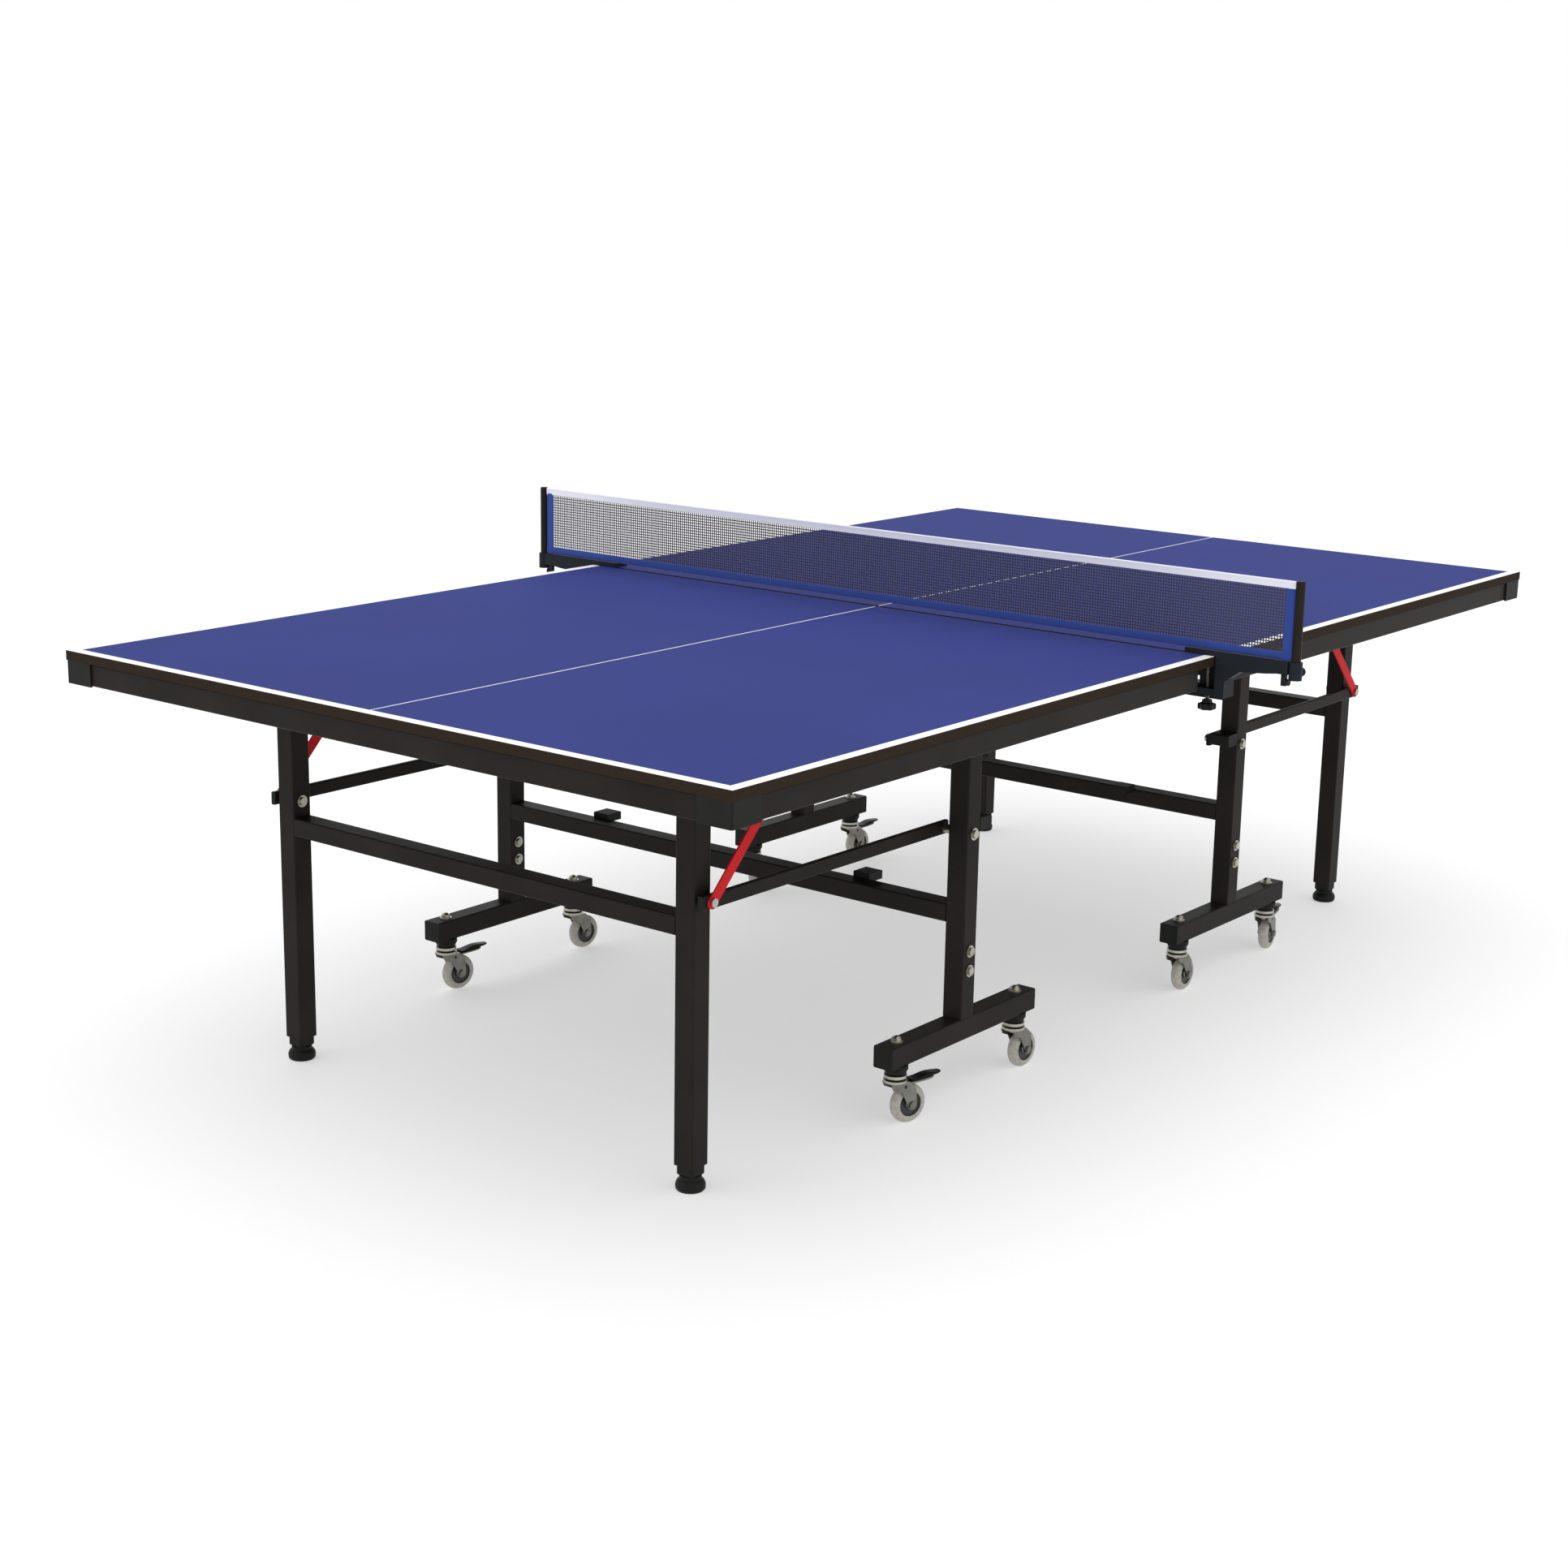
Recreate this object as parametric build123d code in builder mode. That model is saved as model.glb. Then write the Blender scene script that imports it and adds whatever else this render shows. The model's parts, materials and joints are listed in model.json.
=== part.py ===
"""Roll-away table-tennis table: two folding halves on wheel frames, with a clamp-on net.

Frame: X runs along the table, Y across it and Z up. The origin is on the floor under the
middle of the table. The near half lies at -X and the far half at +X; left is +Y, right is -Y.
All sizes are in millimetres.
"""
from build123d import *
import math
import os

os.makedirs("parts", exist_ok=True)

# ---------------------------------------------------------------- driving dimensions
TABLE_LENGTH = 2740.0
TABLE_WIDTH = 1525.0
TABLE_HEIGHT = 760.0
BOARD_THICKNESS = 18.0
CENTRE_GAP = 12.0                 # between the two boards, under the net

TUBE = 40.0                       # square tube of the legs and wheel frames
BAR_HEIGHT = 33.0                 # height of the bars between the legs and between the uprights
TUBE_WALL = 1.5
TUBE_RADIUS = 3.0
CLEAR = 0.02                      # hole clearance on the radius where nothing turns
RUNNING = 0.05                    # hole clearance on the radius where something turns

APRON_HEIGHT = 40.0
APRON_WIDTH = 20.0
APRON_RECESS = 4.5                # the apron stands this far inside the board's edge
APRON_NET_END = 55.0              # the apron stops this far from the net line
RAIL_HEIGHT = 18.0                # cross rails and catch rails under the board
RAIL_WIDTH = 40.0
NET_RAIL_BOTTOM = 707.0           # rail across the net end, shallow enough to pass the uprights
NET_RAIL_WIDTH = 20.0
CATCH_RAIL_Y = (519.0, 539.0)

HINGE_X = 479.0                   # upright, and the axis that the half folds about
HINGE_Z = 684.0
LEG_X = 1110.0                    # leg, and the axis that it hangs from
LEG_HINGE_Z = 687.0
STRUT_DROP = 197.0                # the strut's bolts lie this far below both axes
LEG_Y = (450.0, 490.0)
LEG_Z = (43.0, 707.0)
LEG_BAR_Z = (428.0, 461.0)
UPRIGHT_Y = (531.5, 571.5)
UPRIGHT_TOP = 704.0
CROSSBAR_Z = (324.0, 357.0)
BASE_Z = (111.0, 151.0)
BASE_X = (259.0, 702.0)
CAP = 2.5                         # plastic end plugs
STUB_TOP = 300.0                  # spigot inside each upright
BASE_BOLT_Z = (238.0, 274.0)
FOLDED_FACE_X = 424.0             # stops and buffers end just short of the folded board
BUFFER_Y = (302.0, 338.0)
STOP_Z = (488.0, 512.0)

STRUT_Y = (498.0, 508.0)
STRUT_HEIGHT = 24.0
STRUT_ENDS = (465.0, 1131.0)
BRACE_Y = (509.0, 512.0)
BRACE_WIDTH = 20.0
CATCH_PIN = (893.0, 712.0)        # pin that the brace hooks on: distance from net line, height
CATCH_PIN_RADIUS = 4.0
BOLT_RADIUS = 4.0
HINGE_PIN_RADIUS = 5.0

STEM_X = (297.0, 664.0)           # caster stems: inner, outer
STEM_Y = 551.5
STEM_RADIUS = 5.0
WHEEL_RADIUS = 35.0
WHEEL_WIDTH = 22.0
TRAIL = 27.0
CROWN_Z = (79.0, 93.0)
AXLE_RADIUS = 4.0
PEDAL_PIN = (12.0, 71.0)          # distance from the stem along the trail, and height
PEDAL_PIN_RADIUS = 3.0

NET_X = 6.0
NET_Z = (769.0, 912.5)
NET_HALF_WIDTH = 910.0
POST_Y = 919.0
POST_RADIUS = 8.25
SOCKET_RADIUS = 12.0
POST_TOP = 913.6
KNOB_X = 27.0
KNOB_Z = 748.0
CLAMP_TOP = 768.5
SCREW_X = 19.0
SCREW_Y = 739.0

FOLD = 90.0                       # degrees that each half folds through

# Directions in which the casters trail at rest, in degrees from +X.
CASTER_HEADINGS = {
    ("near", "right", "outer"): -18.0,
    ("near", "right", "inner"): -4.0,
    ("near", "left", "outer"): -10.0,
    ("near", "left", "inner"): -8.0,
    ("far", "right", "outer"): 10.0,
    ("far", "right", "inner"): 1.0,
    ("far", "left", "outer"): -6.0,
    ("far", "left", "inner"): -12.0,
}

BOARD_BOTTOM = TABLE_HEIGHT - BOARD_THICKNESS
BOARD_INNER = CENTRE_GAP / 2
BOARD_OUTER = TABLE_LENGTH / 2
APRON_BOTTOM = BOARD_BOTTOM - APRON_HEIGHT
APRON_OUTER_X = BOARD_OUTER - APRON_RECESS
APRON_OUTER_Y = TABLE_WIDTH / 2 - APRON_RECESS
APRON_INNER_X = APRON_OUTER_X - APRON_WIDTH
APRON_INNER_Y = APRON_OUTER_Y - APRON_WIDTH
RAIL_BOTTOM = BOARD_BOTTOM - RAIL_HEIGHT
LEG_CENTRE_Y = sum(LEG_Y) / 2
UPRIGHT_CENTRE_Y = sum(UPRIGHT_Y) / 2
UPRIGHT_STRUT_Z = HINGE_Z - STRUT_DROP
LEG_STRUT_Z = LEG_HINGE_Z - STRUT_DROP
STRUT_TILT = math.atan2(LEG_STRUT_Z - UPRIGHT_STRUT_Z, LEG_X - HINGE_X)

HALVES = (("near", -1), ("far", 1))
SIDES = (("right", -1), ("left", 1))


# ---------------------------------------------------------------- shared shapes
def block(x, y, z, mode=Mode.ADD):
    """A box in the open part, from (low, high) pairs along X, Y and Z in any order."""
    with Locations(((x[0] + x[1]) / 2, (y[0] + y[1]) / 2, (z[0] + z[1]) / 2)):
        return Box(abs(x[1] - x[0]), abs(y[1] - y[0]), abs(z[1] - z[0]), mode=mode)


def round_bar(x, z, y, radius, mode=Mode.ADD):
    """A cylinder along Y in the open part, at (x, z) and between the pair y."""
    with Locations(Plane((x, (y[0] + y[1]) / 2, z), x_dir=(1, 0, 0), z_dir=(0, 1, 0))):
        return Cylinder(radius, abs(y[1] - y[0]), mode=mode)


def bar_along(x, y, z, radius, mode=Mode.ADD):
    """A cylinder along X in the open part, at (y, z) and between the pair x."""
    with Locations(Plane(((x[0] + x[1]) / 2, y, z), x_dir=(0, 1, 0), z_dir=(1, 0, 0))):
        return Cylinder(radius, abs(x[1] - x[0]), mode=mode)


def upright_bar(x, y, z, radius, mode=Mode.ADD):
    """A cylinder along Z in the open part, at (x, y) and between the pair z."""
    with Locations((x, y, (z[0] + z[1]) / 2)):
        return Cylinder(radius, abs(z[1] - z[0]), mode=mode)


def tube(plane, width, depth, length, radius=TUBE_RADIUS, wall=TUBE_WALL, holes=(), wells=()):
    """A rounded rectangular tube along the plane's normal.

    holes are (x, z, radius) drillings along Y and wells are (x, y, radius) drillings along Z.
    """
    with BuildPart() as bar:
        with BuildSketch(plane):
            RectangleRounded(width, depth, radius)
            RectangleRounded(width - 2 * wall, depth - 2 * wall, radius - wall, mode=Mode.SUBTRACT)
        extrude(amount=length)
        for x, z, hole_radius in holes:
            round_bar(x, z, (plane.origin.Y - width, plane.origin.Y + width), hole_radius, Mode.SUBTRACT)
        for x, y, hole_radius in wells:
            upright_bar(x, y, (plane.origin.Z - width, plane.origin.Z + width), hole_radius, Mode.SUBTRACT)
    return bar.part


def tube_up(x, y, z, **options):
    """A square tube along Z between the pair z."""
    return tube(Plane((x, y, z[0])), TUBE, TUBE, z[1] - z[0], **options)


def tube_along(x, y, z, width, depth, **options):
    """A tube along X between the pair x, width across Y and depth along Z."""
    start = Plane((min(x), y, z), x_dir=(0, 1, 0), z_dir=(1, 0, 0))
    return tube(start, width, depth, abs(x[1] - x[0]), **options)


def tube_across(x, y, z, width, depth, **options):
    """A tube along Y between the pair y, width along X and depth along Z."""
    start = Plane((x, min(y), z), x_dir=(1, 0, 0), z_dir=(0, 1, 0))
    return tube(start, width, depth, abs(y[1] - y[0]), **options)


def save(name, *solids):
    """Label one node, made of one solid or of several separate ones, and write its STEP."""
    node = solids[0] if len(solids) == 1 else Compound(children=list(solids))
    node.label = name
    export_step(node, f"parts/{name}.step")
    return node


def span(sign, pair):
    """The pair of distances from the middle, on the side that sign gives."""
    return (sign * pair[0], sign * pair[1])


# ---------------------------------------------------------------- wheel frames
def wheel_frame(half, sx):
    """Two uprights on base bars, with a crossbar and the spigots that join them."""
    x = sx * HINGE_X
    solids = [tube_across(x, (-UPRIGHT_Y[0], UPRIGHT_Y[0]), sum(CROSSBAR_Z) / 2, TUBE,
                          BAR_HEIGHT)]
    for _, sy in SIDES:
        y = sy * UPRIGHT_CENTRE_Y
        drillings = [(x, HINGE_Z, HINGE_PIN_RADIUS + RUNNING), (x, UPRIGHT_STRUT_Z, BOLT_RADIUS + CLEAR)]
        drillings += [(x, z, BOLT_RADIUS + CLEAR) for z in BASE_BOLT_Z]
        solids.append(tube_up(x, y, (BASE_Z[1], UPRIGHT_TOP - CAP), holes=drillings))
        spigot = Plane((x, y, BASE_Z[1]))
        inner = TUBE - 2 * TUBE_WALL - 0.4
        solids.append(tube(spigot, inner, inner, STUB_TOP - BASE_Z[1], 2.0,
                           holes=[(x, z, BOLT_RADIUS + CLEAR) for z in BASE_BOLT_Z]))
        bar = span(sx, (BASE_X[0] + CAP, BASE_X[1] - CAP))
        solids.append(tube_along(bar, y, sum(BASE_Z) / 2, TUBE, TUBE,
                                 wells=[(sx * stem, y, STEM_RADIUS + CLEAR) for stem in STEM_X]))
    return save(f"{half}_wheel_frame", *solids)


def strut_bolt(x, sy):
    """Bolt through an upright, with the spacer that holds the strut off it and an end nut."""
    z = UPRIGHT_STRUT_Z
    with BuildPart() as bolt:
        round_bar(x, z, span(sy, (STRUT_Y[0] - 8, UPRIGHT_Y[1])), BOLT_RADIUS)
        round_bar(x, z, span(sy, (STRUT_Y[0] - 8, STRUT_Y[0] - 0.3)), 7)
        round_bar(x, z, span(sy, (STRUT_Y[1] + 0.3, UPRIGHT_Y[0])), 8)
        round_bar(x, z, span(sy, (UPRIGHT_Y[1], UPRIGHT_Y[1] + 2)), 11)
        round_bar(x, z, span(sy, (UPRIGHT_Y[1] + 2, UPRIGHT_Y[1] + 6)), 7.5)
    return bolt.part


def base_bolt(x, z, sy):
    """Bolt through an upright and its spigot, with a washer and a head or nut at each end."""
    with BuildPart() as bolt:
        round_bar(x, z, span(sy, (UPRIGHT_Y[0] - 6, UPRIGHT_Y[1] + 6)), BOLT_RADIUS)
        round_bar(x, z, span(sy, (UPRIGHT_Y[0] - 2, UPRIGHT_Y[0])), 11)
        round_bar(x, z, span(sy, (UPRIGHT_Y[0] - 6, UPRIGHT_Y[0] - 2)), 7)
        round_bar(x, z, span(sy, (UPRIGHT_Y[1], UPRIGHT_Y[1] + 2)), 11)
        round_bar(x, z, span(sy, (UPRIGHT_Y[1] + 2, UPRIGHT_Y[1] + 6)), 7.5)
    return bolt.part


def caster_stem(x, y):
    """Stem through a base bar, with its foot flange, washer and dome nut."""
    with BuildPart() as stem:
        upright_bar(x, y, (CROWN_Z[0] - 3.3, BASE_Z[1]), STEM_RADIUS)
        upright_bar(x, y, (CROWN_Z[0] - 6, CROWN_Z[0] - 0.3), 8)
        upright_bar(x, y, (BASE_Z[1], BASE_Z[1] + 2), 12)
        upright_bar(x, y, (BASE_Z[1] + 2, BASE_Z[1] + 8), 8.5)
        with Locations((x, y, BASE_Z[1] + 8)):
            Sphere(7.5, arc_size1=0)
    return stem.part


def wheel_frame_bolts(half, sx):
    """The fasteners of one wheel frame."""
    x = sx * HINGE_X
    solids = []
    for _, sy in SIDES:
        solids.append(strut_bolt(x, sy))
        solids += [base_bolt(x, z, sy) for z in BASE_BOLT_Z]
        solids += [caster_stem(sx * stem, sy * STEM_Y) for stem in STEM_X]
    return save(f"{half}_wheel_frame_bolts", *solids)


def end_plug(x_face, y, outward):
    """Plug in the end of a base bar: a flange outside and a short tongue inside."""
    middle = sum(BASE_Z) / 2
    inner = TUBE / 2 - TUBE_WALL - 0.2
    with BuildPart() as plug:
        with BuildSketch(Plane((x_face - outward * CAP, y, middle), x_dir=(0, 1, 0), z_dir=(outward, 0, 0))):
            RectangleRounded(TUBE, TUBE, TUBE_RADIUS)
        extrude(amount=CAP)
        block((x_face - outward * (CAP + 12), x_face - outward * CAP), (y - inner + 1, y + inner - 1),
              (middle - inner + 1, middle + inner - 1))
    return plug.part


def top_plug(x, y):
    """Plug in the open top of an upright."""
    with BuildPart() as plug:
        with BuildSketch(Plane((x, y, UPRIGHT_TOP - CAP))):
            RectangleRounded(TUBE, TUBE, TUBE_RADIUS)
        extrude(amount=CAP)
    return plug.part


def caster_collar(x, y):
    """Collar between a base bar and the caster under it."""
    with BuildPart() as collar:
        upright_bar(x, y, (BASE_Z[0] - 8, BASE_Z[0]), 22)
        with Locations((x, y, BASE_Z[0] - 12.85)):
            Cone(17.5, 21, 9.7)
        upright_bar(x, y, (CROWN_Z[1], BASE_Z[0]), STEM_RADIUS + CLEAR, Mode.SUBTRACT)
    return collar.part


def buffer_block(sx, sy):
    """Rubber buffer over the crossbar's net side, just short of the folded board."""
    bar_face = HINGE_X - TUBE / 2
    with BuildPart() as buffer:
        block(span(sx, (FOLDED_FACE_X, bar_face)), span(sy, BUFFER_Y), (CROSSBAR_Z[1] - 6, CROSSBAR_Z[1] + 10))
        block(span(sx, (bar_face, bar_face + 5)), span(sy, BUFFER_Y), (CROSSBAR_Z[1], CROSSBAR_Z[1] + 10))
        fillet(buffer.edges().filter_by(Axis.Y).group_by(Axis.Z)[-1], 2)
    return buffer.part


def upright_stop(sx, sy):
    """Stop block on an upright's net side, just short of the folded board."""
    with BuildPart() as stop:
        block(span(sx, (FOLDED_FACE_X, HINGE_X - TUBE / 2)), span(sy, UPRIGHT_Y), STOP_Z)
        near_net = stop.edges().filter_by(Axis.Y).sort_by_distance((0, sy * UPRIGHT_CENTRE_Y, sum(STOP_Z) / 2))
        fillet(near_net[:2], 4)
    return stop.part


def wheel_frame_mouldings(half, sx):
    """Plugs, caster collars, buffers and stops of one wheel frame."""
    x = sx * HINGE_X
    solids = []
    for _, sy in SIDES:
        y = sy * UPRIGHT_CENTRE_Y
        solids += [end_plug(sx * BASE_X[0], y, -sx), end_plug(sx * BASE_X[1], y, sx), top_plug(x, y)]
        solids += [caster_collar(sx * stem, y) for stem in STEM_X]
        solids += [buffer_block(sx, sy), upright_stop(sx, sy)]
    return save(f"{half}_wheel_frame_mouldings", *solids)


# ---------------------------------------------------------------- tops
def board(half, sx):
    """Playing board of one half."""
    with BuildPart() as panel:
        block(span(sx, (BOARD_INNER, BOARD_OUTER)), (-TABLE_WIDTH / 2, TABLE_WIDTH / 2),
              (BOARD_BOTTOM, TABLE_HEIGHT))
        chamfer(panel.edges().filter_by(GeomType.LINE), 0.5)
    return save(f"{half}_board", panel.part)


def top_frame(half, sx):
    """Apron on three sides, with the rails under the board."""
    apron_z = (APRON_BOTTOM + BOARD_BOTTOM) / 2
    rail_z = (RAIL_BOTTOM + BOARD_BOTTOM) / 2
    side_y = APRON_OUTER_Y - APRON_WIDTH / 2
    solids = [
        tube_across(sx * (APRON_OUTER_X - APRON_WIDTH / 2), (-APRON_OUTER_Y, APRON_OUTER_Y), apron_z,
                    APRON_WIDTH, APRON_HEIGHT),
        tube_across(sx * (APRON_NET_END + NET_RAIL_WIDTH / 2), (-APRON_INNER_Y, APRON_INNER_Y),
                    (NET_RAIL_BOTTOM + BOARD_BOTTOM) / 2, NET_RAIL_WIDTH, BOARD_BOTTOM - NET_RAIL_BOTTOM),
    ]
    for x in (HINGE_X, LEG_X):
        solids.append(tube_across(sx * x, (-APRON_INNER_Y, APRON_INNER_Y), rail_z, RAIL_WIDTH, RAIL_HEIGHT))
    catch_run = (HINGE_X + RAIL_WIDTH / 2, LEG_X - RAIL_WIDTH / 2)
    for _, sy in SIDES:
        solids.append(tube_along(span(sx, (APRON_NET_END, APRON_INNER_X)), sy * side_y, apron_z,
                                 APRON_WIDTH, APRON_HEIGHT))
        solids.append(tube_along(span(sx, catch_run), sy * sum(CATCH_RAIL_Y) / 2, rail_z,
                                 CATCH_RAIL_Y[1] - CATCH_RAIL_Y[0], RAIL_HEIGHT))
    return save(f"{half}_top_frame", *solids)


def corner_guard(sx, sy):
    """Moulded guard around one outer corner of the apron."""
    reach = 66.0
    outer_x = BOARD_OUTER - 0.5
    outer_y = TABLE_WIDTH / 2 - 0.5
    with BuildPart() as guard:
        block(span(sx, (outer_x - reach, outer_x)), span(sy, (outer_y - reach, outer_y)),
              (APRON_BOTTOM - 1, BOARD_BOTTOM))
        outer_edge = guard.edges().filter_by(Axis.Z).sort_by_distance((sx * outer_x, sy * outer_y, BOARD_BOTTOM))
        fillet(outer_edge[0], 4.0)
        block(span(sx, (outer_x - reach, APRON_OUTER_X)), span(sy, (outer_y - reach, APRON_OUTER_Y)),
              (APRON_BOTTOM - 2, BOARD_BOTTOM), Mode.SUBTRACT)
    return guard.part


def corner_guards(half, sx):
    """The two corner guards of one half."""
    return save(f"{half}_corner_guards", *[corner_guard(sx, sy) for _, sy in SIDES])


def hinge_ear(x, y, z):
    """Plate that hangs from a rail and holds one end of a hinge pin at height z."""
    half_width = 14.0
    middle = Plane((x, sum(y) / 2, z), x_dir=(1, 0, 0), z_dir=(0, -1, 0))
    with BuildPart() as ear:
        with BuildSketch(middle):
            Circle(half_width)
            with Locations((0, (RAIL_BOTTOM - z) / 2)):
                Rectangle(2 * half_width, RAIL_BOTTOM - z)
            Circle(HINGE_PIN_RADIUS + CLEAR, mode=Mode.SUBTRACT)
        extrude(amount=abs(y[1] - y[0]) / 2, both=True)
    return ear.part


def hinge_pin(x, y, z):
    """Headed pin through two ears, between the pair y."""
    head = 2.5 * math.copysign(1, y[1] - y[0])
    with BuildPart() as pin:
        round_bar(x, z, y, HINGE_PIN_RADIUS)
        round_bar(x, z, (y[0] - head, y[0]), 8)
        round_bar(x, z, (y[1], y[1] + head), 8)
    return pin.part


def catch_ear(x, sy):
    """Plate under the catch rail, with a hole for the catch pin."""
    face = CATCH_RAIL_Y[0]
    middle = Plane((x, sy * (face + 1.75), CATCH_PIN[1]), x_dir=(1, 0, 0), z_dir=(0, -1, 0))
    with BuildPart() as ear:
        with BuildSketch(middle):
            Circle(8)
            with Locations((0, (RAIL_BOTTOM - CATCH_PIN[1]) / 2)):
                Rectangle(16, RAIL_BOTTOM - CATCH_PIN[1])
            Circle(CATCH_PIN_RADIUS + CLEAR, mode=Mode.SUBTRACT)
        extrude(amount=1.75, both=True)
    return ear.part


def catch_pin(x, sy):
    """Pin that the brace hooks on; it stops short of the strut."""
    face = CATCH_RAIL_Y[0]
    with BuildPart() as pin:
        round_bar(x, CATCH_PIN[1], span(sy, (STRUT_Y[1] + 0.6, face + 3.5)), CATCH_PIN_RADIUS)
        round_bar(x, CATCH_PIN[1], span(sy, (face + 3.5, face + 6)), 6)
    return pin.part


def top_brackets(half, sx):
    """Hinge ears with their pins, and the catch pins of the braces."""
    plate = 3.0
    gap = 1.0
    solids = []
    for _, sy in SIDES:
        for x, z, walls in ((HINGE_X, HINGE_Z, UPRIGHT_Y), (LEG_X, LEG_HINGE_Z, LEG_Y)):
            inner = (walls[0] - gap - plate, walls[0] - gap)
            outer = (walls[1] + gap, walls[1] + gap + plate)
            solids += [hinge_ear(sx * x, span(sy, pair), z) for pair in (inner, outer)]
            solids.append(hinge_pin(sx * x, span(sy, (inner[0], outer[1])), z))
        solids += [catch_ear(sx * CATCH_PIN[0], sy), catch_pin(sx * CATCH_PIN[0], sy)]
    return save(f"{half}_top_brackets", *solids)


# ---------------------------------------------------------------- end legs
def leg_frame(half, sx):
    """Two end legs and the bar between them."""
    x = sx * LEG_X
    drillings = [(x, LEG_HINGE_Z, HINGE_PIN_RADIUS + RUNNING), (x, LEG_STRUT_Z, BOLT_RADIUS + CLEAR)]
    solids = [tube_across(x, (-LEG_Y[0], LEG_Y[0]), sum(LEG_BAR_Z) / 2, TUBE, BAR_HEIGHT)]
    for _, sy in SIDES:
        solids.append(tube_up(x, sy * LEG_CENTRE_Y, LEG_Z, holes=drillings))
    return save(f"{half}_leg_frame", *solids)


def leg_insert(x, y):
    """Threaded insert in the bottom of a leg, with a collar under the tube."""
    with BuildPart() as insert:
        with BuildSketch(Plane((x, y, LEG_Z[0] - 17))):
            RectangleRounded(35, 35, 6)
        extrude(amount=17)
        chamfer(insert.edges().group_by(Axis.Z)[0], 2)
        inner = TUBE / 2 - TUBE_WALL - 0.2
        block((x - inner + 1, x + inner - 1), (y - inner + 1, y + inner - 1), (LEG_Z[0], LEG_Z[0] + 30))
        upright_bar(x, y, (LEG_Z[0] - 17, LEG_Z[0] + 30), STEM_RADIUS + RUNNING, Mode.SUBTRACT)
    return insert.part


def leg_inserts(half, sx):
    """The foot inserts of one pair of legs."""
    return save(f"{half}_leg_inserts", *[leg_insert(sx * LEG_X, sy * LEG_CENTRE_Y) for _, sy in SIDES])


def leg_bolt(x, sy):
    """Bolt through a leg that the strut and the brace turn on."""
    z = LEG_STRUT_Z
    with BuildPart() as bolt:
        round_bar(x, z, span(sy, (LEG_Y[0] - 6, BRACE_Y[1] + 4)), BOLT_RADIUS)
        round_bar(x, z, span(sy, (LEG_Y[0] - 6, LEG_Y[0] - 2)), 7.5)
        round_bar(x, z, span(sy, (LEG_Y[0] - 2, LEG_Y[0])), 11)
        round_bar(x, z, span(sy, (LEG_Y[1], STRUT_Y[0] - 0.3)), 9)
        round_bar(x, z, span(sy, (STRUT_Y[1] + 0.3, BRACE_Y[0] - 0.3)), 8)
        round_bar(x, z, span(sy, (BRACE_Y[1] + 0.3, BRACE_Y[1] + 4)), 7.5)
    return bolt.part


def leg_bolts(half, sx):
    """The strut bolts of one pair of legs."""
    return save(f"{half}_leg_bolts", *[leg_bolt(sx * LEG_X, sy) for _, sy in SIDES])


def foot(half, side, x, y):
    """Levelling foot: a round pad, a neck and a threaded stem."""
    with BuildPart() as pad:
        with BuildSketch(Plane((x, y, 0), x_dir=(1, 0, 0), z_dir=(0, -1, 0))):
            with BuildLine():
                Polyline((0, 0), (22, 0), (24.5, 3), (25, 8))
                TangentArc((25, 8), (19, 19.5), tangent=(0, 1))
                Polyline((19, 19.5), (18, 25.6), (5, 25.6), (5, 66), (0, 66), (0, 0))
            make_face()
        revolve(axis=Axis((x, y, 0), (0, 0, 1)))
    return save(f"{half}_foot_{side}", pad.part)


# ---------------------------------------------------------------- struts and braces
def strut_plane(sx, sy):
    """Frame at the strut's upright end: X along the strut towards the leg, Y across it."""
    along = (sx * math.cos(STRUT_TILT), 0, math.sin(STRUT_TILT))
    origin = (sx * HINGE_X, sy * sum(STRUT_Y) / 2, UPRIGHT_STRUT_Z)
    return Plane(origin, x_dir=along, z_dir=(-sx * math.sin(STRUT_TILT), 0, math.cos(STRUT_TILT)))


def struts(half, sx):
    """The two bars that tie the legs to the wheel frame."""
    width = STRUT_Y[1] - STRUT_Y[0]
    low = STRUT_ENDS[0] + CAP - HINGE_X
    high = STRUT_ENDS[1] - CAP - HINGE_X
    bars = []
    for _, sy in SIDES:
        frame = strut_plane(sx, sy)
        start = Plane(frame.from_local_coords((low, 0, 0)), x_dir=frame.y_dir, z_dir=frame.x_dir)
        with BuildPart() as bar:
            with BuildSketch(start):
                RectangleRounded(width, STRUT_HEIGHT, 2.5)
                RectangleRounded(width - 2 * TUBE_WALL, STRUT_HEIGHT - 2 * TUBE_WALL, 1, mode=Mode.SUBTRACT)
            extrude(amount=high - low)
            across = (sy * (STRUT_Y[0] - 1), sy * (STRUT_Y[1] + 1))
            round_bar(sx * HINGE_X, UPRIGHT_STRUT_Z, across, BOLT_RADIUS + RUNNING, Mode.SUBTRACT)
            round_bar(sx * LEG_X, LEG_STRUT_Z, across, BOLT_RADIUS + 0.5, Mode.SUBTRACT)
        bars.append(bar.part)
    return save(f"{half}_struts", *bars)


def strut_cap(frame, distance, outward):
    """Moulded cap on the end of a strut."""
    end = Plane(frame.from_local_coords((distance, 0, 0)), x_dir=frame.y_dir, z_dir=frame.x_dir * outward)
    with BuildPart() as cap:
        with BuildSketch(end):
            RectangleRounded(STRUT_Y[1] - STRUT_Y[0], STRUT_HEIGHT, 2.5)
        extrude(amount=CAP)
    return cap.part


def strut_caps(half, sx):
    """The four end caps of one pair of struts."""
    caps = []
    for _, sy in SIDES:
        frame = strut_plane(sx, sy)
        caps.append(strut_cap(frame, STRUT_ENDS[0] + CAP - HINGE_X, -1))
        caps.append(strut_cap(frame, STRUT_ENDS[1] - CAP - HINGE_X, 1))
    return save(f"{half}_strut_caps", *caps)


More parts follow.
